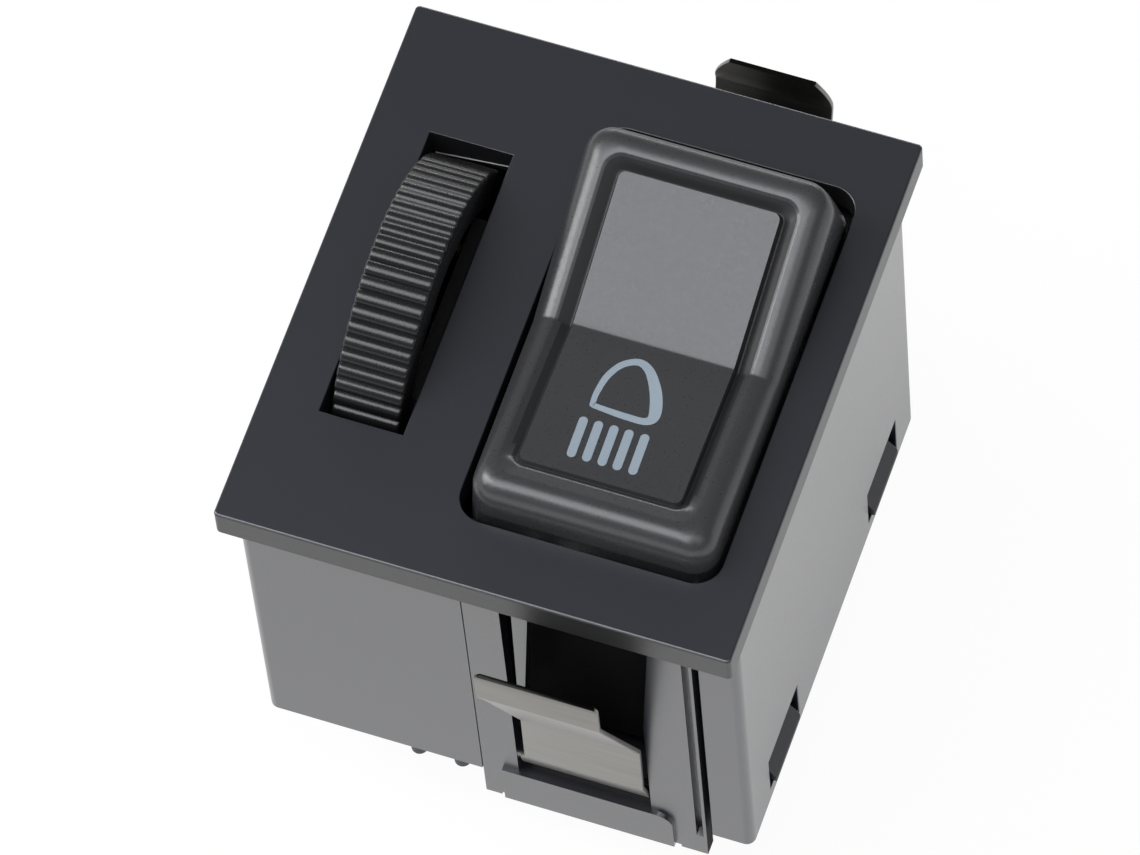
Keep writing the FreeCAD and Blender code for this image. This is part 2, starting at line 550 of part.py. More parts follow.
# Rocker cap: two sloping halves that meet in a valley, with a channel round the raised field.
def rocker_cap():
    body = new_body("rocker_cap", "rocker_x", "plate_shift", "pivot", turn="rocker_tilt")
    half = "(opening_height / 2 - cap_end_gap)"
    side = "(opening_width / 2 - cap_side_gap)"
    slope = "tan(facet_angle * 1 deg)"
    top = "(knee_height + (%s - cap_lean) * %s)" % (half, slope)
    profile = new_sketch(body, "side_view", "YZ")
    polygon(profile, [("-" + half, "cap_skirt"), (half, "cap_skirt"), (half + " - cap_lean", top),
                      ("0", "knee_height"), ("-" + half + " + cap_lean", top)])
    pad(body, profile, "2 * " + side, symmetric=True)
    reach = value(half + " - cap_lean")
    knee = value("knee_height")
    round_edges(body, "valley", "valley_radius", lambda edge: runs_along(edge, (1, 0, 0))
                and near(edge.CenterOfMass.y, 0) and near(edge.CenterOfMass.z, knee))
    width = value(side)
    round_edges(body, "upright_corners", "cap_corner",
                lambda edge: near(abs(edge.CenterOfMass.x), width) and abs(edge.CenterOfMass.y) > reach - 0.01
                and edge.BoundBox.ZLength > 5)
    round_edges(body, "shoulder", "cap_shoulder", lambda edge: edge.BoundBox.ZMin > knee - 0.5
                and not (near(edge.CenterOfMass.x, 0) and abs(edge.CenterOfMass.y) < reach / 2))

    inner = half + " - cap_wall"
    inner_top = "(%s - cap_roof)" % top
    cavity = new_sketch(body, "cap_cavity", "YZ")
    polygon(cavity, [("-(%s)" % inner, "cap_skirt - overrun"), (inner, "cap_skirt - overrun"),
                     (inner + " - cap_lean", inner_top), ("0", "knee_height - cap_wall"),
                     ("-(%s - cap_lean)" % inner, inner_top)])
    pocket(body, cavity, "2 * (%s - cap_wall)" % side, symmetric=True)

    for sign, tag in ((1, "upper"), (-1, "lower")):
        start = "%d * (moat_depth + moat_lift) * %s" % (-sign, slope)
        moat = new_sketch(body, tag + "_channel", "XY", "knee_height + moat_lift / cos(facet_angle * 1 deg)",
                          turn="facet_angle", axis=(sign, 0, 0))
        wide = "(pad_width / 2 + moat_width)"
        far = "%d * (pad_reach + moat_width)" % sign
        polygon(moat, [("-" + wide, start), ("-" + wide, far), (wide, far), (wide, start),
                       ("pad_width / 2", start), ("pad_width / 2", "%d * pad_reach" % sign),
                       ("-pad_width / 2", "%d * pad_reach" % sign), ("-pad_width / 2", start)])
        pocket(body, moat, "moat_depth + moat_lift")

    lug = new_sketch(body, "lug", "YZ", "lug_inner")
    reach_out = "(pin_radius + lug_reach)"
    rectangle(lug, "-" + reach_out, "-" + reach_out, reach_out, "knee_height - cap_wall / 2")
    lug_pad = pad(body, lug, "lug_thick")
    bore = new_sketch(body, "lug_bore", "YZ", "lug_inner")
    circle(bore, "0", "0", "pin_radius + pin_play")
    lug_hole = pocket(body, bore, "lug_thick", flip=True)
    pattern(body, "Mirrored", "lug_pair", [lug_pad, lug_hole], MirrorPlane=origin_part(body, "YZ_Plane"))
    doc.recompute()
    low = value("-(pin_radius + lug_reach)")
    round_edges(body, "lug_toes", "lug_reach", lambda edge: runs_along(edge, (1, 0, 0))
                and near(edge.CenterOfMass.z, low))

    tube = new_sketch(body, "plunger_tube", "XY", "-tube_reach")
    pad(body, circle(tube, "0", "0", "tube_radius"), "tube_reach + knee_height - cap_wall / 2")
    tube_bore = new_sketch(body, "tube_bore", "XY", "-tube_reach")
    circle(tube_bore, "0", "0", "plunger_radius + plunger_play")
    pocket(body, tube_bore, "tube_reach - plunger_top + spring_room", flip=True)


# Steel stub pins that the rocker turns on, one in each ear of the frame.
def pivot_pins():
    for tag, sign in (("left", -1), ("right", 1)):
        body = new_body("pivot_pin_" + tag, "rocker_x", "plate_shift", "pivot")
        disc = new_sketch(body, "pin_section_" + tag, "YZ", "%d * lug_inner" % sign)
        circle(disc, "0", "0", "pin_radius")
        pad(body, disc, "ear_inner + ear_thick - lug_inner", flip=sign < 0)


# Sprung detent plunger inside the rocker's tube, and its spring.
def detent():
    body = new_body("detent_plunger", "rocker_x", "plate_shift", "pivot", turn="rocker_tilt")
    foot = new_sketch(body, "plunger_foot", "XY", "-plunger_reach")
    pad(body, circle(foot, "0", "0", "plunger_radius"), "plunger_reach - plunger_top")
    low = value("-plunger_reach")
    round_edges(body, "plunger_tip", "plunger_radius / 2", lambda edge: near(edge.BoundBox.ZMax, low),
                kind="Chamfer")

    body = new_body("plunger_spring", "rocker_x", "plate_shift", "pivot", turn="rocker_tilt")
    wire = new_sketch(body, "spring_wire_section", "XZ")
    middle = "plunger_radius - spring_wire"
    level = "spring_wire / 2 - plunger_top"
    corners = [("1 / 2", "0"), ("1 / 4", "0.433"), ("-1 / 4", "0.433"),
               ("-1 / 2", "0"), ("-1 / 4", "-0.433"), ("1 / 4", "-0.433")]
    polygon(wire, [("%s + spring_wire * (%s)" % (middle, x), "%s + spring_wire * (%s)" % (level, z))
                   for x, z in corners])
    coil = body.newObject("PartDesign::AdditiveHelix", "coil")
    coil.Profile = wire
    coil.ReferenceAxis = (wire, ["V_Axis"])
    coil.Mode = "height-turns-angle"
    coil.setExpression("Height", formula("spring_room - spring_wire * 1.5"))
    coil.setExpression("Turns", formula("spring_turns"))
    doc.recompute()


# Contact bar: a see-saw with a silver rivet at each end, on a saddle over the middle terminal.
def contact_bar():
    body = new_body("contact_bar", "rocker_x", "plate_shift", "bar_axis", turn="bar_tilt", axis=(-1, 0, 0))
    strip = new_sketch(body, "bar_strip", "YZ")
    rectangle(strip, "-bar_half", "-bar_sheet / 2", "bar_half", "bar_sheet / 2")
    pad(body, strip, "bar_width", symmetric=True)
    saddle = new_sketch(body, "saddle", "YZ")
    rectangle(saddle, "-hub_half", "-hub_low", "hub_half", "hub_high")
    pad(body, saddle, "hub_width", symmetric=True)
    seat = new_sketch(body, "saddle_seat", "YZ")
    pocket(body, circle(seat, "0", "0", "head_radius + pin_play"), symmetric=True)
    room = new_sketch(body, "neck_slot", "YZ")
    pocket(body, rectangle(room, "-neck_room / 2", "-hub_low - overrun", "neck_room / 2", "-head_radius / 2"),
           symmetric=True)
    rivets = new_sketch(body, "bar_rivets", "XY", "-bar_sheet / 2")
    circle(rivets, "0", "rivet_place", "rivet_radius")
    circle(rivets, "0", "-rivet_place", "rivet_radius")
    pad(body, rivets, "rivet_height", flip=True)


# Rocker terminals: each is one stamping from its contact down to the blade in the socket.
def rocker_terminals():
    body = new_body("centre_terminal", "rocker_x", "plate_shift")
    blade = new_sketch(body, "centre_blade", "YZ")
    rectangle(blade, "-blade_sheet / 2", "blade_low", "blade_sheet / 2", "neck_start")
    pad(body, blade, "blade_width", symmetric=True)
    neck = new_sketch(body, "neck", "YZ")
    rectangle(neck, "-neck_sheet / 2", "neck_start - overrun", "neck_sheet / 2", "bar_axis")
    pad(body, neck, "head_width", symmetric=True)
    head = new_sketch(body, "rounded_head", "YZ")
    pad(body, circle(head, "0", "bar_axis", "head_radius"), "head_width", symmetric=True)

    swing = "(rivet_place + rivet_radius) * sin(bar_tilt * 1 deg)"
    drop = "(bar_sheet / 2 + rivet_height) * cos(bar_tilt * 1 deg)"
    anvil = "(bar_axis - %s - %s - contact_gap - anvil_height)" % (swing, drop)
    for tag, sign in (("front", -1), ("rear", 1)):
        body = new_body(tag + "_terminal", "rocker_x", "plate_shift")
        outside = "%d * (outer_blade + blade_sheet / 2)" % sign
        inside = "%d * (outer_blade - blade_sheet / 2)" % sign
        tab = "%d * (outer_blade + blade_sheet / 2 - tab_reach)" % sign
        bend = new_sketch(body, tag + "_bend", "YZ")
        polygon(bend, [(outside, "blade_low"), (inside, "blade_low"), (inside, anvil + " - blade_sheet"),
                       (tab, anvil + " - blade_sheet"), (tab, anvil), (outside, anvil)])
        pad(body, bend, "blade_width", symmetric=True)
        corner = value(outside)
        floor = value("base_top")
        round_edges(body, tag + "_fold", "blade_sheet", lambda edge: runs_along(edge, (1, 0, 0))
                    and near(edge.CenterOfMass.y, corner) and edge.CenterOfMass.z > floor)
        rivet = new_sketch(body, tag + "_anvil", "XY", anvil)
        pad(body, circle(rivet, "0", "%d * rivet_place" % sign, "rivet_radius"), "anvil_height")


# Spring clips: bent strips, rooted behind the frame's crossbar, that hold the switch in its panel.
def spring_clip(label, sign, cut):
    body = new_body(label, "rocker_x")
    wall = "%d * (body_height / 2" % sign
    outline = [(wall + " - frame_wall - clip_gap)", "root_low"),
               (wall + " - frame_wall - clip_gap)", "root_high"),
               (wall + " + tongue_out)", "tongue_low"), (wall + " + knee_out)", "knee_z"),
               (wall + " + ramp_out)", "ramp_z"), (wall + " + ramp_out)", "lip_z")]
    inward = [("%s + %d * clip_sheet" % (y, -sign), z) for y, z in reversed(outline)]
    strip = new_sketch(body, label + "_strip", "YZ", "-clip_left")
    pad(body, polygon(strip, outline + inward), "clip_left + clip_right")
    levels = [value(z) for y, z in outline[1:5]]
    round_edges(body, label + "_bends", "clip_bend", lambda edge: runs_along(edge, (1, 0, 0))
                and min(abs(edge.CenterOfMass.z - level) for level in levels) < 0.02)
    trims = new_sketch(body, label + "_trims", "XZ")
    rectangle(trims, "clip_right - tongue_cut", "root_low - clip_sheet",
              "clip_right + clip_sheet", "cut_level")
    rectangle(trims, "-clip_left - clip_sheet", "cut_level", "-clip_left + lip_cut", "lip_z + clip_sheet")
    pocket(body, trims, symmetric=True)
    top = value("lip_z")
    round_edges(body, label + "_corners", cut, lambda edge: runs_along(edge, (0, 1, 0))
                and near(edge.CenterOfMass.z, top), kind="Chamfer")


# Rear base: closes the housing, snaps into its side walls and carries the connector socket.
def rear_base():
    body = new_body("rear_base")
    half_x = "(body_width / 2 - body_wall - base_gap)"
    half_y = "(body_height / 2 - body_wall - base_gap)"
    floor = new_sketch(body, "base_plate", "XY", "base_low")
    pad(body, rectangle(floor, "-" + half_x, "-" + half_y, half_x, half_y), "base_thick")

    socket = new_sketch(body, "socket", "XY")
    rectangle(socket, "-socket_width / 2", "plate_shift - socket_height / 2",
              "socket_width / 2", "plate_shift + socket_height / 2")
    pad(body, socket, "base_low")
    half = value("socket_width / 2")
    round_edges(body, "socket_corners", "socket_wall", lambda edge: runs_along(edge, (0, 0, 1))
                and near(abs(edge.CenterOfMass.x), half))
    mouth = new_sketch(body, "socket_mouth", "XY")
    rectangle(mouth, "-socket_width / 2 + socket_wall", "plate_shift - socket_height / 2 + socket_wall",
              "socket_width / 2 - socket_wall", "plate_shift + socket_height / 2 - socket_wall")
    pocket(body, mouth, "base_low", flip=True)
    key = new_sketch(body, "key_rib", "XY", "blade_low")
    rectangle(key, "-key_width / 2", "plate_shift + socket_height / 2 - socket_wall - key_depth",
              "key_width / 2", "plate_shift + socket_height / 2 - socket_wall / 2")
    pad(body, key, "base_low - blade_low")

    rails = new_sketch(body, "frame_rails", "XY", "base_top")
    for sign in (-1, 1):
        near_x = "rocker_x + %d * rail_inner" % sign
        far_x = "rocker_x + %d * (rail_inner + rail_width)" % sign
        rectangle(rails, near_x, "-rail_half", far_x, "rail_half")
    pad(body, rails, "frame_floor - base_low - base_thick")

    pegs = new_sketch(body, "pegs", "XY", "base_low")
    for count in ("0", "1"):
        circle(pegs, "peg_first + %s * peg_step" % count, "-body_height / 2 + peg_inset", "peg_radius")
    pad(body, pegs, "peg_length", flip=True)

    slots = new_sketch(body, "base_slots", "XY", "base_low - overrun")
    wide = "(blade_width / 2 + blade_room)"
    thin = "(blade_sheet / 2 + blade_room)"
    for place in ("plate_shift - outer_blade", "plate_shift", "plate_shift + outer_blade"):
        rectangle(slots, "rocker_x - " + wide, place + " - " + thin,
                  "rocker_x + " + wide, place + " + " + thin)
    link_x = "(wheel_x + cheek_right_face + cheek_thick + blade_sheet / 2)"
    for sign in (-1, 1):
        place = "wheel_y + %d * link_place" % sign
        rectangle(slots, link_x + " - " + thin, place + " - " + wide,
                  link_x + " + " + thin, place + " + " + wide)
    pocket(body, slots, "base_thick + 2 * overrun", flip=True)

    for tag, middle in (("upper", "snap_upper"), ("lower", "-snap_lower")):
        arm = new_sketch(body, tag + "_arm", "YZ", half_x)
        rectangle(arm, middle + " - barb_width / 2", "base_top - overrun",
                  middle + " + barb_width / 2", "arm_high")
        arm_pad = pad(body, arm, "arm_thick", flip=True)
        barb = new_sketch(body, tag + "_barb", "XZ", "-(%s)" % middle)
        sill = "(snap_low + base_gap)"
        polygon(barb, [(half_x + " - barb_sink", sill), ("body_width / 2 + barb_proud", sill),
                       ("body_width / 2 + barb_proud", sill + " + barb_edge"),
                       (half_x + " - barb_sink", sill + " + barb_rise")])
        barb_pad = pad(body, barb, "barb_width", symmetric=True)
        pattern(body, "Mirrored", tag + "_snap_pair", [arm_pad, barb_pad],
                MirrorPlane=origin_part(body, "YZ_Plane"))
        doc.recompute()


# Dimmer carrier: two cheeks and a bridge, with seats for the axle and for the terminal rivets.
def dimmer_carrier():
    body = new_body("dimmer_carrier", "wheel_x", "wheel_y")
    left = "cheek_left_face"
    right = "cheek_right_face"
    top = "seat - fit_gap"
    bridge_top = "(bridge_low + bridge_thick)"
    section = new_sketch(body, "carrier_section", "XZ")
    polygon(section, [(left + " - cheek_thick", "base_top"), (left, "base_top"), (left, "bridge_low"),
                      (right, "bridge_low"), (right, "base_top"), (right + " + cheek_thick", "base_top"),
                      (right + " + cheek_thick", top), (right, top), (right, bridge_top), (left, bridge_top),
                      (left, top), (left + " - cheek_thick", top)])
    pad(body, section, "2 * cheek_half", symmetric=True)
    half = value("cheek_half")
    high = value(top)
    round_edges(body, "cheek_shoulders", "cheek_half / 2", lambda edge: runs_along(edge, (1, 0, 0))
                and near(abs(edge.CenterOfMass.y), half) and near(edge.CenterOfMass.z, high))
    bore = new_sketch(body, "axle_seat", "YZ")
    pocket(body, circle(bore, "0", "axle", "axle_radius + pin_seat"), symmetric=True)
    rivets = new_sketch(body, "rivet_seats", "YZ", right)
    for sign in (-1, 1):
        circle(rivets, "%d * link_place" % sign, "axle - link_drop", "link_rivet + pin_seat")
    pocket(body, rivets, "cheek_thick", flip=True)


# Thumbwheel: ribbed over most of its rim, dished on the right for the rheostat.
def thumbwheel():
    body = new_body("thumbwheel", "wheel_x", "wheel_y", "axle")
    rim = new_sketch(body, "wheel_rim", "YZ")
    pad(body, circle(rim, "0", "0", "wheel_radius"), "wheel_width", symmetric=True)
    dish = new_sketch(body, "dish", "YZ", "wheel_width / 2")
    circle(dish, "0", "0", "dish_radius")
    circle(dish, "0", "0", "hub_radius")
    pocket(body, dish, "dish_depth")
    hub = new_sketch(body, "hub_face", "YZ", "wheel_width / 2")
    pocket(body, circle(hub, "0", "0", "hub_radius"), "hub_step")
    bore = new_sketch(body, "wheel_bore", "YZ")
    pocket(body, circle(bore, "0", "0", "axle_radius + pin_play"), symmetric=True)
    side = value("wheel_width / 2")
    radius = value("wheel_radius")
    round_edges(body, "rim_edges", "plate_edge", lambda edge: near(abs(edge.CenterOfMass.x), side)
                and near(edge.BoundBox.ZMax, radius), kind="Chamfer")
    groove = new_sketch(body, "rib_groove", "YZ", turn="rib_first", axis=(0, 0, -1))
    polygon(groove, [("-rib_mouth / 2", "wheel_radius + rib_over"),
                     ("-rib_root / 2", "wheel_radius - rib_height"),
                     ("rib_root / 2", "wheel_radius - rib_height"),
                     ("rib_mouth / 2", "wheel_radius + rib_over")])
    cut = pocket(body, groove, symmetric=True)
    ribs = pattern(body, "PolarPattern", "ribs", [cut], Axis=origin_part(body, "X_Axis"))
    ribs.setExpression("Occurrences", formula("rib_cuts"))
    ribs.setExpression("Angle", formula("(rib_cuts - 1) * 360 / rib_count"))
    doc.recompute()


# Axle, headed at the left cheek, and the spring washer that gives the wheel its friction.
def wheel_axle():
    body = new_body("wheel_axle", "wheel_x", "wheel_y", "axle")
    shaft = new_sketch(body, "shaft", "YZ", "cheek_left_face - cheek_thick")
    pad(body, circle(shaft, "0", "0", "axle_radius"), "cheek_right_face - cheek_left_face + 2 * cheek_thick")
    head = new_sketch(body, "axle_head", "YZ", "cheek_left_face - cheek_thick")
    pad(body, circle(head, "0", "0", "axle_head"), "axle_head_thick", flip=True)

    body = new_body("friction_washer", "wheel_x", "wheel_y", "axle")
    ring = new_sketch(body, "washer_ring", "YZ", "cheek_left_face + washer_gap")
    circle(ring, "0", "0", "washer_radius")
    circle(ring, "0", "0", "axle_radius + pin_play")
    pad(body, ring, "washer_thick")


# Rheostat: a ceramic disc on the right cheek, the winding on it, and the wiper in the wheel.
def rheostat():
    body = new_body("rheostat_disc", "wheel_x", "wheel_y", "axle")
    face = new_sketch(body, "disc_face", "YZ", "cheek_right_face")
    circle(face, "0", "0", "disc_radius")
    circle(face, "0", "0", "axle_radius + pin_play")
    pad(body, face, "disc_thick", flip=True)
    seats = new_sketch(body, "disc_seats", "YZ", "cheek_right_face")
    for sign in (-1, 1):
        circle(seats, "%d * link_place" % sign, "-link_drop", "link_rivet + pin_play")
    pocket(body, seats, "link_depth + link_room")
    flat = new_sketch(body, "disc_flat", "YZ", "cheek_right_face")
    rectangle(flat, "-disc_radius", "axle_depth - plate_depth - fit_gap",
              "disc_radius", "disc_radius + overrun")
    pocket(body, flat, "disc_thick")

    body = new_body("resistance_winding", "wheel_x", "wheel_y", "axle", turn="track_start")
    track = new_sketch(body, "track_section", "XY")
    inner_face = "(cheek_right_face - disc_thick - track_thick)"
    rectangle(track, inner_face, "track_inner", inner_face + " + track_thick", "track_outer")
    arc = body.newObject("PartDesign::Revolution", "track")
    arc.Profile = track
    arc.ReferenceAxis = (track, ["H_Axis"])
    arc.Reversed = True
    arc.setExpression("Angle", formula("track_angle"))
    doc.recompute()

    body = new_body("wiper", "wheel_x", "wheel_y", "axle")
    floor = "(wheel_width / 2 - dish_depth)"
    strip = new_sketch(body, "wiper_strip", "YZ", floor)
    rectangle(strip, "wiper_start", "-wiper_width / 2", "wiper_end", "wiper_width / 2")
    pad(body, strip, "wiper_sheet")
    dimple = new_sketch(body, "dimple", "YZ", floor)
    circle(dimple, "dimple_place", "0", "dimple_radius")
    pad(body, dimple, inner_face + " - dimple_gap - " + floor)


# Dimmer terminals: strips riveted through the right cheek to the rheostat disc.
def dimmer_terminals():
    for tag, sign in (("lower", -1), ("upper", 1)):
        outside = "(cheek_right_face + cheek_thick)"
        body = new_body("dimmer_terminal_" + tag, "wheel_x", "wheel_y + %d * link_place" % sign)
        strip = new_sketch(body, tag + "_link", "YZ", outside)
        rectangle(strip, "-blade_width / 2", "blade_low", "blade_width / 2", "axle - link_drop + link_over")
        pad(body, strip, "blade_sheet")
        rivet = new_sketch(body, tag + "_rivet", "YZ", outside)
        circle(rivet, "0", "axle - link_drop", "link_rivet")
        pad(body, rivet, "cheek_thick + link_depth", flip=True)


def export():
    """Check every object, then write one STEP file for each sub-part."""
    bodies = [item for item in doc.Objects if item.TypeId == "PartDesign::Body"]
    for item in doc.Objects:
        if "Invalid" in item.State or "Error" in item.State:
            raise RuntimeError("%s failed: %s" % (item.Name, item.State))
    for body in bodies:
        shape = body.Shape
        if shape.isNull() or not shape.isValid() or len(shape.Solids) != 1:
            raise RuntimeError("%s has no single valid solid" % body.Label)
    os.makedirs("parts", exist_ok=True)
    for body in bodies:
        body.Shape.exportStep("parts/%s.step" % body.Label)
        box = body.Shape.BoundBox
        print("%-22s %9.1f mm3  x %6.1f %6.1f  y %6.1f %6.1f  z %6.1f %6.1f" % (
            body.Label, body.Shape.Volume, box.XMin, box.XMax, box.YMin, box.YMax, box.ZMin, box.ZMax))


front_housing()
rocker_frame()
rocker_cap()
pivot_pins()
detent()
contact_bar()
rocker_terminals()
spring_clip("bottom_clip", -1, "lower_lip_cut")
spring_clip("top_clip", 1, "upper_lip_cut")
rear_base()
dimmer_carrier()
thumbwheel()
wheel_axle()
rheostat()
dimmer_terminals()
doc.recompute()
export()
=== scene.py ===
import json
import math

import bmesh
import bpy
import numpy as np
from mathutils import Matrix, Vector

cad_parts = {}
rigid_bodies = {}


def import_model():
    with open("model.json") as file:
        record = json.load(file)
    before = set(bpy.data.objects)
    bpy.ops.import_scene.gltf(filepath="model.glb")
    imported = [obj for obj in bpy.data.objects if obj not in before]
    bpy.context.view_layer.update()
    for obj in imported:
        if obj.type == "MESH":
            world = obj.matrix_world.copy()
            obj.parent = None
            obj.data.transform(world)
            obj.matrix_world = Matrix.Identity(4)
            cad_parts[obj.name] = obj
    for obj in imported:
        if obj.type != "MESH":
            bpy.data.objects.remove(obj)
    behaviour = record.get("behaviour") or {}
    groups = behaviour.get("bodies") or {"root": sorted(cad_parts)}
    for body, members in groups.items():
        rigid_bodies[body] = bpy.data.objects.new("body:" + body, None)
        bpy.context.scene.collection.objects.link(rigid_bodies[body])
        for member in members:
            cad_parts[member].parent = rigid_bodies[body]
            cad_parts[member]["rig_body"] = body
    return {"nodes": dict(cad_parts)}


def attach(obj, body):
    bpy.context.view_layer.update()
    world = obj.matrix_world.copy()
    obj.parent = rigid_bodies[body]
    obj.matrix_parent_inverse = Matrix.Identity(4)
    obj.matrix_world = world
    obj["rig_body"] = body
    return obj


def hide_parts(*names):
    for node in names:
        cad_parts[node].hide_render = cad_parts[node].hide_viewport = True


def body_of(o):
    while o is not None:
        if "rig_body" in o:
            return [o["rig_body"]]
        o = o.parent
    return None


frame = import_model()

bl_info = {
    "name": "Headlight switch",
    "version": (1, 0, 0),
    "blender": (4, 5, 0),
    "location": "3D View > Sidebar > Switch",
    "description": "Dresses the solids of a headlight switch: rocker, thumbwheel, clips, housing and studio",
    "category": "Object",
}

MM = 0.001
# The rocker's middle across, its pivot, its tilt at rest in degrees, and the wheel's centre.
ROCKER_X = 9.25
ROCKER_PIVOT = np.array([ROCKER_X, 0.7, 55.8])
ROCKER_TILT = 6.9
WHEEL_CENTRE = np.array([-16.6, 0.95, 52.4])


# Mesh helpers: everything is worked out in millimetres and stored in metres.

def put_mesh(name, points, faces, body, material, smooth=True, crease=None):
    """A closed mesh object from points in millimetres; doubled points are merged, faces turned outwards."""
    mesh = bpy.data.meshes.new(name)
    mesh.from_pydata((np.asarray(points) * MM).tolist(), [], [list(map(int, face)) for face in faces])
    work = bmesh.new()
    work.from_mesh(mesh)
    bmesh.ops.remove_doubles(work, verts=work.verts, dist=2e-7)
    bmesh.ops.dissolve_degenerate(work, edges=work.edges, dist=1e-7)
    bmesh.ops.recalc_face_normals(work, faces=work.faces)
    work.to_mesh(mesh)
    work.free()
    piece = bpy.data.objects.new(name, mesh)
    bpy.context.scene.collection.objects.link(piece)
    mesh.materials.append(material)
    if smooth:
        mesh.shade_smooth()
    if crease:
        mesh.set_sharp_from_angle(angle=math.radians(crease))
    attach(piece, body)
    return piece


def loft(rings, close_start=False, close_end=False):
    """Points and quads of a surface through closed rings, an array of (ring, place on the ring, xyz)."""
    count, around = rings.shape[:2]
    here = np.arange(count * around).reshape(count, around)
    after = np.roll(here, -1, axis=1)
    quads = np.stack([here[:-1], after[:-1], after[1:], here[1:]], axis=-1).reshape(-1, 4)
    faces = quads.tolist()
    if close_start:
        faces.append(here[0, ::-1].tolist())
    if close_end:
        faces.append(here[-1].tolist())
    return rings.reshape(-1, 3), faces


def join(parts):
    """One list of points and faces from several."""
    points, faces, start = [], [], 0
    for part_points, part_faces in parts:
        points.append(part_points)
        faces += [[index + start for index in face] for face in part_faces]
        start += len(part_points)
    return np.concatenate(points), faces


def rounded_rectangle(half_x, half_y, radius, steps_x, steps_y, corner=8):
    """Ring of a rectangle with round corners: straight sides sampled at fixed fractions, corners as arcs
    x = cx + r cos a, y = cy + r sin a, counter-clockwise from the lower end of the right side."""
    flat_x, flat_y = half_x - radius, half_y - radius
    turn = np.linspace(0, math.pi / 2, corner + 1)[1:-1]
    sides = []
    corners = ((1, 1, 0.0), (-1, 1, math.pi / 2), (-1, -1, math.pi), (1, -1, 1.5 * math.pi))
    straight = (np.stack([np.full_like(steps_y, half_x), steps_y * flat_y], 1),
                np.stack([-steps_x * flat_x, np.full_like(steps_x, half_y)], 1),
                np.stack([np.full_like(steps_y, -half_x), -steps_y * flat_y], 1),
                np.stack([steps_x * flat_x, np.full_like(steps_x, -half_y)], 1))
    for side, (sign_x, sign_y, start) in zip(straight, corners):
        sides.append(side)
        sides.append(np.stack([sign_x * flat_x + radius * np.cos(start + turn),
                               sign_y * flat_y + radius * np.sin(start + turn)], 1))
    return np.concatenate(sides)


def tilted(points, degrees, pivot):
    """Points turned about the X axis through the pivot: y' = y cos a - z sin a, z' = y sin a + z cos a."""
    angle = math.radians(degrees)
    cosine, sine = math.cos(angle), math.sin(angle)
    turn = np.array([[1, 0, 0], [0, cosine, -sine], [0, sine, cosine]])
    return np.asarray(points) @ turn.T + pivot


def face_middles(mesh):
    """Middles of a mesh's faces in millimetres, one row each."""
    middles = np.empty(len(mesh.polygons) * 3)
    mesh.polygons.foreach_get("center", middles)
    return middles.reshape(-1, 3) / MM


# Materials.

def node_of(tree, kind, place, **inputs):
    """A new node at a place in the tree, its inputs set by name, with underscores for spaces."""
    node = tree.nodes.new(kind)
    node.location = place
    for name, setting in inputs.items():
        node.inputs[name.replace("_", " ")].default_value = setting
    return node


def plastic(name, colour, roughness, grain=0.12, depth=0.02, mottle=0.12, gloss=0.5, coat=0.0):
    """Moulded plastic: fine grain as bump and roughness, and slow mottling of the colour.
    grain is the size of the grain in millimetres, depth its height in millimetres."""
    material = bpy.data.materials.new(name)
    material.use_nodes = True
    tree = material.node_tree
    shader = tree.nodes["Principled BSDF"]
    shader.inputs["Specular IOR Level"].default_value = gloss
    shader.inputs["Coat Weight"].default_value = coat
    shader.inputs["Coat Roughness"].default_value = 0.3
    place = tree.nodes.new("ShaderNodeTexCoord")
    fine = node_of(tree, "ShaderNodeTexNoise", (-900, -300), Scale=1.0 / (grain * MM), Detail=3.0,
                   Roughness=0.6)
    slow = node_of(tree, "ShaderNodeTexNoise", (-900, 100), Scale=90.0, Detail=4.0, Roughness=0.55)
    for noise in (fine, slow):
        tree.links.new(place.outputs["Object"], noise.inputs["Vector"])
    shade = node_of(tree, "ShaderNodeMapRange", (-600, 100))
    shade.inputs["From Min"].default_value = 0.3
    shade.inputs["From Max"].default_value = 0.7
    shade.inputs["To Min"].default_value = 1.0 - mottle
    shade.inputs["To Max"].default_value = 1.0 + mottle
    tree.links.new(slow.outputs["Fac"], shade.inputs["Value"])
    tint = tree.nodes.new("ShaderNodeVectorMath")
    tint.operation = "SCALE"
    tint.inputs[0].default_value = colour
    tree.links.new(shade.outputs["Result"], tint.inputs["Scale"])
    tree.links.new(tint.outputs["Vector"], shader.inputs["Base Color"])
    rough = node_of(tree, "ShaderNodeMapRange", (-600, -150))
    rough.inputs["From Min"].default_value = 0.3
    rough.inputs["From Max"].default_value = 0.7
    rough.inputs["To Min"].default_value = roughness - 0.05
    rough.inputs["To Max"].default_value = roughness + 0.05
    tree.links.new(fine.outputs["Fac"], rough.inputs["Value"])
    tree.links.new(rough.outputs["Result"], shader.inputs["Roughness"])
    bump = node_of(tree, "ShaderNodeBump", (-350, -350), Strength=1.0, Distance=depth * MM)
    tree.links.new(fine.outputs["Fac"], bump.inputs["Height"])
    tree.links.new(bump.outputs["Normal"], shader.inputs["Normal"])
    return material


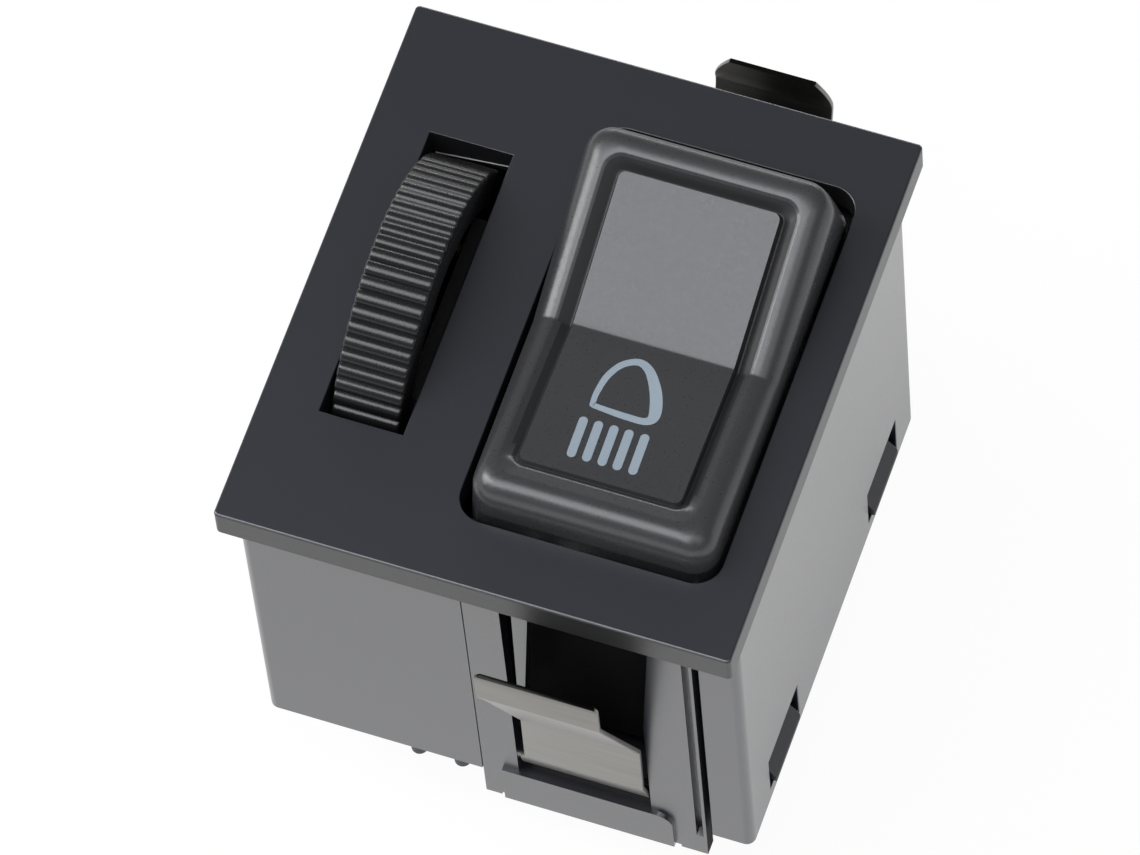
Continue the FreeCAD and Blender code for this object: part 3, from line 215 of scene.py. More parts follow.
def metal(name, colour, roughness, streak=(60.0, 900.0, 900.0), depth=0.004, painted_edge_shade=False):
    """Rolled strip: streaks along the strip from stretched noise, in roughness, colour and a faint bump;
    with the edge switch on, the faces that face upwards, the strip's top edges among them, are darkened by the
    normal's Z: painted shade."""
    material = bpy.data.materials.new(name)
    material.use_nodes = True
    tree = material.node_tree
    shader = tree.nodes["Principled BSDF"]
    shader.inputs["Metallic"].default_value = 1.0
    place = tree.nodes.new("ShaderNodeTexCoord")
    stretch = tree.nodes.new("ShaderNodeMapping")
    stretch.inputs["Scale"].default_value = streak
    noise = node_of(tree, "ShaderNodeTexNoise", (-700, 0), Scale=1.0, Detail=5.0, Roughness=0.6)
    tree.links.new(place.outputs["Object"], stretch.inputs["Vector"])
    tree.links.new(stretch.outputs["Vector"], noise.inputs["Vector"])
    ramp = tree.nodes.new("ShaderNodeValToRGB")
    ramp.color_ramp.elements[0].position = 0.3
    ramp.color_ramp.elements[1].position = 0.7
    ramp.color_ramp.elements[0].color = (*[channel * 0.8 for channel in colour], 1)
    ramp.color_ramp.elements[1].color = (*[channel * 1.15 for channel in colour], 1)
    tree.links.new(noise.outputs["Fac"], ramp.inputs["Fac"])
    tree.links.new(ramp.outputs["Color"], shader.inputs["Base Color"])
    # Painted shade: faces that face upwards are darkened by their normal's Z, in place of the shadowed gap
    # over the clip's top edge.
    if painted_edge_shade:
        split = tree.nodes.new("ShaderNodeSeparateXYZ")
        tree.links.new(place.outputs["Normal"], split.inputs[0])
        painted_shade = node_of(tree, "ShaderNodeMapRange", (-400, 200))
        painted_shade.inputs["From Min"].default_value = 0.55
        painted_shade.inputs["From Max"].default_value = 0.75
        painted_shade.inputs["To Min"].default_value = 1.0
        painted_shade.inputs["To Max"].default_value = 0.06
        tree.links.new(split.outputs["Z"], painted_shade.inputs["Value"])
        tint = tree.nodes.new("ShaderNodeVectorMath")
        tint.operation = "SCALE"
        tree.links.new(ramp.outputs["Color"], tint.inputs[0])
        tree.links.new(painted_shade.outputs["Result"], tint.inputs["Scale"])
        tree.links.new(tint.outputs["Vector"], shader.inputs["Base Color"])
    rough = node_of(tree, "ShaderNodeMapRange", (-400, -200))
    rough.inputs["To Min"].default_value = roughness - 0.08
    rough.inputs["To Max"].default_value = roughness + 0.08
    tree.links.new(noise.outputs["Fac"], rough.inputs["Value"])
    tree.links.new(rough.outputs["Result"], shader.inputs["Roughness"])
    bump = node_of(tree, "ShaderNodeBump", (-350, -350), Strength=1.0, Distance=depth * MM)
    tree.links.new(noise.outputs["Fac"], bump.inputs["Height"])
    tree.links.new(bump.outputs["Normal"], shader.inputs["Normal"])
    return material


def dress(node, material):
    """A carried-over solid with its own material."""
    mesh = frame["nodes"][node].data
    mesh.materials.clear()
    mesh.materials.append(material)


def refined_copy(node, name, material, bevel=0.12, crease=35.0, zones=()):
    """A merged copy of a solid, its flat facets joined, with small round edges. Each zone is a material and
    two corners: the faces whose middle lies between them get that material, and of two zones the last wins."""
    source = frame["nodes"][node]
    mesh = source.data.copy()
    mesh.name = name
    work = bmesh.new()
    work.from_mesh(mesh)
    bmesh.ops.remove_doubles(work, verts=work.verts, dist=1e-6)
    bmesh.ops.dissolve_limit(work, angle_limit=math.radians(0.6), verts=work.verts, edges=work.edges)
    work.to_mesh(mesh)
    work.free()
    mesh.materials.clear()
    mesh.materials.append(material)
    middles = face_middles(mesh)
    chosen = np.zeros(len(middles), np.int32)
    for place, (finish, low, high) in enumerate(zones):
        mesh.materials.append(finish)
        chosen[((middles > low) & (middles < high)).all(axis=1)] = place + 1
    mesh.polygons.foreach_set("material_index", chosen)
    piece = bpy.data.objects.new(name, mesh)
    bpy.context.scene.collection.objects.link(piece)
    mesh.shade_smooth()
    mesh.set_sharp_from_angle(angle=math.radians(crease))
    rounding = piece.modifiers.new("edges", "BEVEL")
    rounding.width = bevel * MM
    rounding.segments = 2
    rounding.limit_method = "ANGLE"
    rounding.angle_limit = math.radians(40)
    rounding.use_clamp_overlap = True
    shading = piece.modifiers.new("shading", "WEIGHTED_NORMAL")
    shading.keep_sharp = True
    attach(piece, body_of(source)[0])
    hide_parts(node)
    return piece


class SwitchLook(bpy.types.PropertyGroup):
    face_colour: bpy.props.FloatVectorProperty(
        name="Face colour", description="Charcoal of the face plate and the housing",
        default=(0.006, 0.0068, 0.0122), size=3, subtype="COLOR", min=0, max=1)
    rocker_colour: bpy.props.FloatVectorProperty(
        name="Rocker colour", description="Charcoal of the rocker",
        default=(0.0305, 0.031, 0.0335), size=3, subtype="COLOR", min=0, max=1)
    wheel_colour: bpy.props.FloatVectorProperty(
        name="Wheel colour", description="Charcoal of the thumbwheel",
        default=(0.006, 0.006, 0.0065), size=3, subtype="COLOR", min=0, max=1)
    sign_colour: bpy.props.FloatVectorProperty(
        name="Sign colour", description="Pale blue grey of the printed headlamp sign",
        default=(0.235, 0.285, 0.33), size=3, subtype="COLOR", min=0, max=1)
    grain: bpy.props.FloatProperty(
        name="Grain", description="Size of the moulded grain, in millimetres",
        default=0.14, min=0.02, max=1.0)
    channel_depth: bpy.props.FloatProperty(
        name="Channel depth", description="Depth of the channel round the rocker's field, in millimetres",
        default=0.88, min=0.1, max=1.2)
    sign_height: bpy.props.FloatProperty(
        name="Print height", description="Height of the printed sign over the rocker, in millimetres",
        default=0.015, min=0.005, max=0.1)
    ambient: bpy.props.FloatProperty(
        name="Sky light", description="Strength of the surround high above the floor",
        default=0.18, min=0, max=2)


def look():
    """The settings in the scene's panel."""
    return bpy.context.scene.switch_look


# Rocker.

CAP_X, CAP_Y, CAP_FOOT = 13.15, 21.0, 22.1
KNEE, SLOPE, VALLEY, SKIRT = 9.7, math.tan(math.radians(11.8)), 0.15, 2.2
SHOULDER, SHOULDER_ACROSS = 3.0, 2.7
# The upper end's shoulder: how far each drop below the crest lies beyond it; a flat bow, then a tight edge.
UPPER_CREST, UPPER_FIELD, UPPER_LEAN = 17.62, 15.85, 0.14
UPPER_DROPS = (0.0, 0.021, 0.085, 0.189, 0.342, 0.542, 0.817, 0.965, 1.133, 1.316, 1.524)
UPPER_REACH = (0.0, 0.46, 0.9, 1.3, 1.67, 2.0, 2.33, 2.43, 2.5, 2.54, 2.56)
# The channel: inset from the rocker's side, share of the channel's depth, corner radius.
CHANNEL = ((2.8, 0.02, 1.85), (2.9, 0.08, 1.8), (3.1, 0.21, 1.7), (3.5, 0.47, 1.5), (3.9, 0.73, 1.25),
           (4.2, 0.93, 1.0), (4.33, 0.99, 0.92), (4.42, 1.0, 0.87), (4.5, 0.93, 0.84), (4.6, 0.5, 0.8),
           (4.68, 0.12, 0.77), (4.72, 0.0, 0.75), (4.8, 0.0, 0.72), (5.2, 0.0, 0.6))
# At the lower end the channel is shallower: where that starts and is full, the share taken off its slope and
# off its groove, and the inset at which the groove begins.
EASE_FROM, EASE_FULL, EASE_SLOPE, EASE_GROOVE, GROOVE_FROM = -15.2, -16.4, 0.68, 0.35, 4.25
# Faces in the channel's own plastic, duller and with a darker colour that is painted shade: inside these sides
# and ends; deeper under the face than the first drop round the upper half or the second round the lower half,
# and less deep than the third, which leaves out the inside.
CHANNEL_SIDE, CHANNEL_ENDS, CHANNEL_DROPS = 10.3, (-18.0, 17.6), (0.15, 0.5, 1.2)
# The channel's width from the shoulder to the field, and how much further in it lies at the ends than at the
# sides.
CHANNEL_ACROSS, CHANNEL_END_SHARE = 2.02, 1.045
# How far the left side's wall leans in at the lower end, the middle and the upper end.
LEFT_LEAN_AT, LEFT_LEAN = (-21.0, 0.0, 21.0), (0.75, 0.27, 0.0)
# Corner radius and the share of the inset taken off it; the wall's and the roof's thickness; the foot's
# rounding.
CAP_CORNER, CORNER_SHARE, CAP_WALL, CAP_ROOF, FOOT_ROUND = 2.7, 0.3, 1.8, 2.3, 0.25
# Pivot lugs: inner and outer face across, half width, corner, bore for the pins, and top. The plunger's tube:
# bore, outside, foot, top, and the roof over the spring.
LUG_INNER, LUG_OUTER, LUG_HALF, LUG_CORNER, PIN_BORE, LUG_TOP = 6.8, 9.0, 3.65, 2.4, 1.3, KNEE - 1.2
TUBE_BORE, TUBE_OUTSIDE, TUBE_FOOT, TUBE_TOP, TUBE_ROOF = 1.72, 2.7, -7.0, 8.6, 5.4


def cap_height(y):
    """Height of the rocker's face over its pivot: knee + slope * sqrt(y^2 + b^2), a V with a round valley."""
    return KNEE + SLOPE * np.sqrt(y * y + VALLEY ** 2)


def upper_reach(drop):
    """How far the upper end reaches at a drop below its crest; below the tight edge the wall leans out."""
    lean = UPPER_LEAN * max(drop - UPPER_DROPS[-1], 0)
    return UPPER_CREST + np.interp(drop, UPPER_DROPS, UPPER_REACH) + lean


def lower_end(y):
    """0 above the lower end and 1 at it, in a straight line between."""
    return np.clip((y - EASE_FROM) / (EASE_FULL - EASE_FROM), 0, 1)


def cap_section(depth):
    """Insets in x and y, corner radius, drop below the face and the upper end's reach, from the shoulder's
    foot to the field: a quarter ellipse, inset w (1 - cos t) and drop h (1 - sin t), then the channel."""
    rows = []
    for turn in np.radians([0, 10, 20, 25, 30, 35, 40, 45, 50, 55, 60, 64, 68, 76, 83, 90]):
        inset = SHOULDER_ACROSS * (1 - math.cos(turn))
        drop = SHOULDER * (1 - math.sin(turn))
        rows.append((inset, inset, CAP_CORNER - inset * CORNER_SHARE, drop, upper_reach(drop)))
    for inset, share, radius in CHANNEL:
        upper = UPPER_CREST - (inset - SHOULDER_ACROSS) * (UPPER_CREST - UPPER_FIELD) / CHANNEL_ACROSS
        rows.append((inset, inset * CHANNEL_END_SHARE, radius, depth * share, upper))
    return rows


def cap_shell(depth):
    """The rocker as one closed shell: walls, shoulder, channel and field outside, walls and roof inside."""
    steps_x = np.linspace(-1, 1, 13)
    fine = np.array([0.004, 0.009, 0.016, 0.03, 0.06])
    steps_y = np.concatenate([-np.linspace(1, 0.1, 12), -fine[::-1], [0], fine, np.linspace(0.1, 1, 12)])
    rows = cap_section(depth)
    rings = []

    def ring(inset_x, inset_y, radius, half_y, level, upper, lean=0.0):
        flat = rounded_rectangle(CAP_X - inset_x, half_y - inset_y, radius, steps_x, steps_y)
        flat[:, 1] *= np.where(flat[:, 1] > 0, upper / (half_y - inset_y), 1.0)
        leftness = np.clip(-flat[:, 0] / CAP_X, 0, 1)
        flat[:, 0] += lean * leftness * np.interp(flat[:, 1], LEFT_LEAN_AT, LEFT_LEAN)
        rings.append(np.column_stack([flat, level(flat[:, 1])]))

    inner_corner, foot_corner, top = 1.6, 2.5, upper_reach(SHOULDER)
    ring(CAP_WALL, CAP_WALL, inner_corner, CAP_Y, lambda y: cap_height(y) - CAP_ROOF, top - CAP_WALL)
    ring(CAP_WALL, CAP_WALL, inner_corner, CAP_FOOT, lambda y: np.full_like(y, SKIRT), CAP_FOOT - CAP_WALL)
    ring(FOOT_ROUND, FOOT_ROUND, foot_corner, CAP_FOOT, lambda y: np.full_like(y, SKIRT),
         CAP_FOOT - FOOT_ROUND)
    ring(0.0, 0.0, CAP_CORNER, CAP_FOOT, lambda y: np.full_like(y, SKIRT + FOOT_ROUND), CAP_FOOT)
    for share in (0.35, 0.7):
        ring(0.0, 0.0, CAP_CORNER, CAP_FOOT + (CAP_Y - CAP_FOOT) * share,
             lambda y: SKIRT + (cap_height(y) - SHOULDER - SKIRT) * share,
             CAP_FOOT + (top - CAP_FOOT) * share, share)
    for inset_x, inset_y, radius, drop, upper in rows:
        ease = 0.0
        if inset_x > SHOULDER_ACROSS:
            ease = EASE_SLOPE if inset_x < GROOVE_FROM else EASE_GROOVE
        ring(inset_x, inset_y, radius, CAP_Y, lambda y: cap_height(y) - drop * (1 - ease * lower_end(y)),
             upper, max(1 - inset_x / SHOULDER_ACROSS, 0))
    points, faces = loft(np.array(rings))
    around = len(rings[0])
    for first, outwards in ((0, False), (len(points) - around, True)):
        faces += across_ring(first, len(steps_y), len(steps_x), outwards)
    return points, faces


def across_ring(first, count_y, count_x, outwards):
    """Strips that fill a ring of rounded_rectangle from its right side to its left side, and its two ends."""
    corner = 7  # points between the ends of a corner's arc
    right = np.arange(count_y)
    left = (np.arange(count_y) + count_y + 2 * corner + count_x)[::-1]
    strips = [[right[i], right[i + 1], left[i + 1], left[i]] for i in range(count_y - 1)]
    total = 2 * (count_y + count_x + 2 * corner)
    upper = list(range(right[-1], left[-1] + 1))
    lower = list(range(left[0], total)) + [0]
    filled = strips + [upper, lower]
    if not outwards:
        filled = [face[::-1] for face in filled]
    return [[int(index) + first for index in face] for face in filled]


def plate_with_bore(x_low, x_high, half_y, low, high, corner, bore):
    """A lug across X: rings run from the bore to an outline found along rays at the same angles."""
    angle = np.linspace(0, 2 * math.pi, 49)[:-1]
    ray = np.stack([np.cos(angle), np.sin(angle)], 1)
    with np.errstate(divide="ignore"):
        sideways = half_y / np.abs(ray[:, 0])
        upright = np.where(ray[:, 1] > 0, high, -low) / np.abs(ray[:, 1])
        reach = np.minimum(sideways, upright)
    outline = ray * reach[:, None]
    centre = np.array([half_y - corner, low + corner])
    folded = np.stack([np.abs(outline[:, 0]), outline[:, 1]], 1)
    past = (folded[:, 0] > centre[0]) & (folded[:, 1] < centre[1])
    along = ray.copy()
    along[:, 0] = np.abs(along[:, 0])
    inner = along @ centre
    root = np.sqrt(np.maximum(inner ** 2 - centre @ centre + corner ** 2, 0))
    outline = np.where(past[:, None], ray * (inner + root)[:, None], outline)
    hole = ray * bore
    rings = [np.column_stack([np.full(48, x), flat]) for x, flat in
             ((x_low, hole), (x_low, outline), (x_high, outline), (x_high, hole), (x_low, hole))]
    return loft(np.array(rings))


def turned_piece(profile, steps=48):
    """A closed profile of (radius, height) turned about Z: x = r cos t, y = r sin t."""
    angle = np.linspace(0, 2 * math.pi, steps + 1)[:-1]
    profile = np.asarray(profile, float)
    rings = np.stack([np.outer(profile[:, 0], np.cos(angle)), np.outer(profile[:, 0], np.sin(angle)),
                      np.repeat(profile[:, 1:], steps, axis=1)], -1)
    return loft(rings)


class SWITCH_OT_rocker(bpy.types.Operator):
    """The rocker with its shoulder, channel, field, lugs and plunger tube"""
    bl_idname = "switch.rocker"
    bl_label = "Rocker"

    def execute(self, context):
        material = plastic("rocker_plastic", look().rocker_colour, 0.31, grain=0.3, depth=0.004, mottle=0.05,
                           gloss=0.72)
        parts = [cap_shell(look().channel_depth)]
        for low, high in ((LUG_INNER, LUG_OUTER), (-LUG_OUTER, -LUG_INNER)):
            parts.append(plate_with_bore(low, high, LUG_HALF, -LUG_HALF, LUG_TOP, LUG_CORNER, PIN_BORE))
        axis = 0.001
        tube = [(TUBE_BORE, TUBE_FOOT), (TUBE_OUTSIDE, TUBE_FOOT), (TUBE_OUTSIDE, TUBE_TOP), (axis, TUBE_TOP),
                (axis, TUBE_ROOF), (TUBE_BORE, TUBE_ROOF), (TUBE_BORE, TUBE_FOOT)]
        parts.append(turned_piece(tube))
        points, faces = join(parts)
        cap = put_mesh("rocker_shell", tilted(points, ROCKER_TILT, ROCKER_PIVOT), faces, "rocker", material,
                       crease=50)
        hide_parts("rocker_cap")
        self.shade_channel(cap.data)
        return {"FINISHED"}

    def shade_channel(self, mesh):
        """The channel's faces, by their drop under the rocker's face, get a plastic of their own, duller and
        with a darker
        colour that is painted shade: its whole slope round the upper half, and only its groove round the lower
        half."""
        # Painted shade: the channel's colour is the rocker's, darkened.
        dull_painted_shade = [channel * 0.55 for channel in look().rocker_colour]
        mesh.materials.append(plastic("channel_plastic", dull_painted_shade, 0.42, grain=0.3, depth=0.004, mottle=0.05,
                                      gloss=0.35))
        x, y, z = tilted(face_middles(mesh) - ROCKER_PIVOT, -ROCKER_TILT, np.zeros(3)).T
        drop = cap_height(y) - z
        within = (np.abs(x) < CHANNEL_SIDE) & (y > CHANNEL_ENDS[0]) & (y < CHANNEL_ENDS[1])
        channel = within & (drop > np.where(y > 0, *CHANNEL_DROPS[:2])) & (drop < CHANNEL_DROPS[2])
        mesh.polygons.foreach_set("material_index", channel.astype(np.int32))


# Printed sign: strokes carried along their middle lines, laid on the lower half of the rocker.

def on_field(x, y, lift):
    """Rocker coordinates of a place on the field: x across, y along, lifted off the face."""
    return np.stack([x, y, cap_height(y) + lift], -1)


def stroke(line, width, lift):
    """A flat band of changing width along a closed line, with thin side walls, as two offset curves:
    middle +- normal * width / 2."""
    along = np.roll(line, -1, axis=0) - np.roll(line, 1, axis=0)
    along /= np.linalg.norm(along, axis=1)[:, None]
    normal = np.stack([-along[:, 1], along[:, 0]], 1)
    left, right = line + normal * width[:, None] / 2, line - normal * width[:, None] / 2
    rows = np.stack([on_field(right[:, 0], right[:, 1], 0.0), on_field(right[:, 0], right[:, 1], lift),
                     on_field(left[:, 0], left[:, 1], lift), on_field(left[:, 0], left[:, 1], 0.0)], 1)
    return loft(np.concatenate([rows, rows[:1]]))


def pill(x, low, high, width, lift, lean=0.0):
    """A bar with round ends: the outline of a stadium, raised by the print's height."""
    radius = width / 2
    angle = np.linspace(0, math.pi, 13)
    top = np.stack([radius * np.cos(angle), high - radius + radius * np.sin(angle)], 1)
    bottom = np.stack([-radius * np.cos(angle), low + radius - radius * np.sin(angle)], 1)
    outline = np.concatenate([top, bottom])
    across = x + outline[:, 0] + lean * (outline[:, 1] - (low + high) / 2)
    rings = np.stack([on_field(across, outline[:, 1], 0.0), on_field(across, outline[:, 1], lift)])
    return loft(rings, close_start=True, close_end=True)


class SWITCH_OT_sign(bpy.types.Operator):
    """The printed headlamp sign: a lamp outline over five beams"""
    bl_idname = "switch.sign"
    bl_label = "Headlamp sign"

    def execute(self, context):
        material = plastic("sign_print", look().sign_colour, 0.5, grain=0.1, depth=0.004, mottle=0.05)
        lift = look().sign_height
        lamp = smooth_loop(LAMP)
        parts = [stroke(lamp[:, :2], lamp[:, 2], lift)]
        for x in BEAMS:
            parts.append(pill(x, BEAM_LOW, BEAM_HIGH, BEAM_WIDTH, lift, BEAM_LEAN))
        points, faces = join(parts)
        put_mesh("headlamp_sign", tilted(points, ROCKER_TILT, ROCKER_PIVOT), faces, "rocker", material,
                 smooth=False)
        return {"FINISHED"}


# Middle line of the lamp with the stroke's width at each place: x, y, width.
LAMP = ((-3.5, -8.12, 0.55), (-3.56, -7.3, 0.58), (-3.52, -6.3, 0.62), (-3.2, -4.6, 0.68),
        (-2.42, -3.1, 0.7), (-1.42, -2.32, 0.72), (-0.45, -2.12, 0.8), (0.55, -2.68, 0.95),
        (1.42, -3.82, 1.12), (2.15, -5.22, 1.24), (2.62, -6.65, 1.26), (2.72, -7.55, 1.15),
        (2.42, -8.12, 0.9), (1.7, -8.36, 0.76), (0.2, -8.36, 0.74), (-1.4, -8.28, 0.68),
        (-2.9, -8.16, 0.6))
BEAMS = (-3.67, -2.08, -0.47, 1.1, 2.74)
BEAM_LOW, BEAM_HIGH, BEAM_WIDTH, BEAM_LEAN = -14.37, -9.62, 0.92, -0.03


def smooth_loop(knots, steps=7):
    """Closed line through the knots: a + b t + c t^2 + d t^3 on each span, with slopes (next - last) / 2; the
    first knot keeps its corner."""
    knots = np.asarray(knots, float)
    after, before = np.roll(knots, -1, axis=0), np.roll(knots, 1, axis=0)
    slope_out, slope_in = (after - before) / 2, (after - before) / 2
    slope_out[0], slope_in[0] = after[0] - knots[0], knots[0] - before[0]
    share = (np.arange(steps) / steps)[None, :, None]
    here, there = knots[:, None], after[:, None]
    leave, arrive = slope_out[:, None], np.roll(slope_in, -1, axis=0)[:, None]
    line = ((2 * share ** 3 - 3 * share ** 2 + 1) * here + (share ** 3 - 2 * share ** 2 + share) * leave
            + (3 * share ** 2 - 2 * share ** 3) * there + (share ** 3 - share ** 2) * arrive)
    return line.reshape(-1, 3)


# Thumbwheel: pitches round the rim, how many of them are ribbed, the angle of the first and the points on
# each; then half its width, the rim's radius and rounding, the circle on its sides from which they run out to
# the ribs, the recess, the hub with its bore, and the faces of recess and hub across X.
RIB_PITCHES, RIBS, FIRST_RIB, PER_PITCH = 68, 61, 45.0, 24
WHEEL_HALF, WHEEL_RADIUS, RIM_ROUND, SIDE_CIRCLE, WHEEL_RECESS = 3.6, 17.2, 0.35, 15.2, 13.4
HUB_RADIUS, AXLE_BORE, WEB_FACE, HUB_FACE = 3.6, 2.05, -0.8, 1.6


def rib_depth(place):
    """Depth below the rim at a place of one pitch, 0 to 1: half a round rib at either end,
    d (1 - sqrt(1 - (u / w)^2)) with u from the rib's crest, and a low bead in the groove between."""
    deep, half_rib, bead, half_bead = 0.42, 0.47, 0.05, 0.08
    from_crest = 0.5 - np.abs(place - 0.5)
    rib = deep * (1 - np.sqrt(np.clip(1 - (from_crest / half_rib) ** 2, 0, 1)))
    from_bead = np.abs(place - 0.5)
    return rib - bead * np.sqrt(np.clip(1 - (from_bead / half_bead) ** 2, 0, 1))


class SWITCH_OT_thumbwheel(bpy.types.Operator):
    """The ribbed thumbwheel with its recess and hub"""
    bl_idname = "switch.thumbwheel"
    bl_label = "Thumbwheel"

    def execute(self, context):
        material = plastic("wheel_plastic", look().wheel_colour, 0.29, grain=0.2, depth=0.006, mottle=0.2,
                           gloss=0.6)
        pitch = 360.0 / RIB_PITCHES
        angle = np.arange(RIB_PITCHES * PER_PITCH) * pitch / PER_PITCH + FIRST_RIB - pitch / 2
        place = (angle - FIRST_RIB + pitch / 2) / pitch
        radius = WHEEL_RADIUS - np.where(place < RIBS, rib_depth(place % 1.0), 0.0)
        turn = np.radians(angle)
        rim, round_off = WHEEL_HALF, RIM_ROUND
        profile = [(-rim, AXLE_BORE, 0), (-rim, SIDE_CIRCLE, 0)]
        for step in np.radians([0, 30, 60, 90]):
            profile.append((-rim + round_off * (1 - math.cos(step)), -round_off * (1 - math.sin(step)), 1))
        for step in np.radians([90, 60, 30, 0]):
            profile.append((rim - round_off * (1 - math.cos(step)), -round_off * (1 - math.sin(step)), 1))
        profile += [(rim, SIDE_CIRCLE, 0), (rim, WHEEL_RECESS, 0), (WEB_FACE, WHEEL_RECESS, 0),
                    (WEB_FACE, HUB_RADIUS, 0), (HUB_FACE, HUB_RADIUS, 0), (HUB_FACE, AXLE_BORE, 0),
                    (-rim, AXLE_BORE, 0)]
        rings = []
        for x, reach, on_rim in profile:
            rings.append(np.column_stack([np.full_like(turn, x), np.cos(turn) * (radius * on_rim + reach),
                                          np.sin(turn) * (radius * on_rim + reach)]))
        points, faces = loft(np.array(rings))
        wheel = put_mesh("thumbwheel_ribbed", points + WHEEL_CENTRE, faces, "thumbwheel", material,
                         crease=40)
        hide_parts("thumbwheel")
        return {"FINISHED"}


# Spring clips.

def bent_path(points, radius, steps=7):
    """A path of straight runs joined by tangent arcs of one radius, or less where a run is short."""
    points = np.asarray(points, float)
    tiny, run_share = 1e-9, 0.45
    path = [points[0]]
    for before, here, after in zip(points[:-2], points[1:-1], points[2:]):
        to_before = (before - here) / np.linalg.norm(before - here)
        to_after = (after - here) / np.linalg.norm(after - here)
        half = math.acos(np.clip(to_before @ to_after, -1, 1)) / 2
        shorter = min(np.linalg.norm(before - here), np.linalg.norm(after - here))
        reach = min(radius / math.tan(half), run_share * shorter)
        bend = reach * math.tan(half)
        bisector = (to_before + to_after) / np.linalg.norm(to_before + to_after)
        centre = here + bisector * bend / math.sin(half)
        start, end = here + to_before * reach - centre, here + to_after * reach - centre
        for share in np.linspace(0, 1, steps):
            mixed = start * math.sin((1 - share) * (math.pi / 2 - half) + tiny)
            mixed = mixed + end * math.sin(share * (math.pi / 2 - half) + tiny)
            path.append(centre + mixed / np.linalg.norm(mixed) * bend)
    path.append(points[-1])
    return np.array(path)


def refined_path(path, step):
    """The same line with points no more than a step apart."""
    gaps = np.linalg.norm(np.diff(path, axis=0), axis=1)
    whole = np.concatenate([[0], np.cumsum(gaps)])
    extra = np.arange(0, whole[-1], step)
    places = np.unique(np.round(np.concatenate([whole, extra]), 4))
    return np.stack([np.interp(places, whole, path[:, axis]) for axis in (0, 1)], 1)


def strip(path, left, right, thickness, edge=0.09):
    """A strip carried along a path in the YZ plane: each ring is a rectangle with round edges, one side on
    the path and the other at thickness along the path's normal. left and right are its sides at each point."""
    along = np.gradient(path, axis=0)
    along /= np.linalg.norm(along, axis=1)[:, None]
    normal = np.stack([-along[:, 1], along[:, 0]], 1)
    side, inset, height = [], [], []
    for sign_x, sign_n, start in ((1, 1, 0), (-1, 1, 90), (-1, -1, 180), (1, -1, 270)):
        turn = np.radians([0, 45, 90]) + math.radians(start)
        side.append(np.full(3, sign_x))
        inset.append(edge * np.cos(turn) - sign_x * edge)
        height.append((sign_n + 1) / 2 * abs(thickness) - sign_n * edge + edge * np.sin(turn))
    side, inset, height = np.concatenate(side), np.concatenate(inset), np.concatenate(height)
    height *= np.sign(thickness)
    rings = []
    for point, out, low, high in zip(path, normal, left, right):
        flat = point[None, :] + out[None, :] * height[:, None]
        rings.append(np.column_stack([np.where(side > 0, high, low) + inset, flat]))
    return loft(np.array(rings), close_start=True, close_end=True)


# The strip's thickness, the radius of its bends, the longest step along it and the power of its corners' cut.
CLIP_THICK, CLIP_BEND, CLIP_STEP, CLIP_CUT_CURVE = 0.5, 1.3, 0.4, 1.6
# Side view of each clip (distance from the middle, height over the socket rim), and its sides, left and right
# of the rocker's middle, at heights over the socket rim; then how wide and how high its top corners are cut.
CLIP_SHAPES = {
    "bottom_clip": {
        "side": -1,
        "outline": ((24.55, 8.6), (24.55, 14.6), (25.9, 15.7), (27.3, 20.5), (28.2, 31.0),
                    (36.9, 53.5), (36.95, 58.3)),
        "levels": (8.6, 14.9, 15.3, 17.0, 19.4, 20.2, 31.0, 33.0, 51.4, 52.6, 53.6, 60.0),
        "left": (-7.1, -7.1, -7.7, -7.7, -7.4, -6.8, -6.3, -6.3, -6.1, -6.2, -6.6, -6.6),
        "right": (5.9, 5.9, 6.1, 6.1, 6.05, 6.0, 6.45, 6.45, 6.25, 6.3, 6.3, 6.3),
        "cut": (0.5, 0.6)},
    "top_clip": {
        "side": 1,
        "outline": ((24.55, 8.6), (24.55, 14.6), (26.3, 16.0), (28.2, 31.0), (37.2, 53.0), (37.25, 56.9)),
        "levels": (8.6, 14.9, 15.3, 17.0, 17.9, 18.6, 31.0, 46.0, 52.0, 54.0, 60.0),
        "left": (-7.1, -7.1, -7.7, -7.7, -7.5, -7.1, -6.6, -6.3, -6.5, -6.7, -6.7),
        "right": (5.7, 5.7, 6.05, 6.05, 5.95, 5.7, 6.1, 6.25, 6.0, 5.9, 5.9),
        "cut": (1.7, 3.4)},
}


class SWITCH_OT_clips(bpy.types.Operator):
    """The two spring clips, bent from strip"""
    bl_idname = "switch.clips"
    bl_label = "Spring clips"

    def execute(self, context):
        # The clips' upward faces get painted shade from the metal's edge switch.
        material = metal("clip_steel", (0.23, 0.225, 0.21), 0.32, streak=(60.0, 700.0, 700.0), painted_edge_shade=True)
        for node, shape in CLIP_SHAPES.items():
            side, (cut_across, cut_down) = shape["side"], shape["cut"]
            path = bent_path([(side * y, z) for y, z in shape["outline"]], CLIP_BEND)
            path = refined_path(path, CLIP_STEP)
            height, top = path[:, 1], path[-1, 1]
            cut = cut_across * np.clip((height - top + cut_down) / cut_down, 0, 1) ** CLIP_CUT_CURVE
            left = np.interp(height, shape["levels"], shape["left"]) + cut
            right = np.interp(height, shape["levels"], shape["right"]) - cut
            points, faces = strip(path, ROCKER_X + left, ROCKER_X + right, CLIP_THICK * side)
            clip = put_mesh(node + "_strip", points, faces, "housing", material, crease=50)
            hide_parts(node)
        return {"FINISHED"}


# Housing.

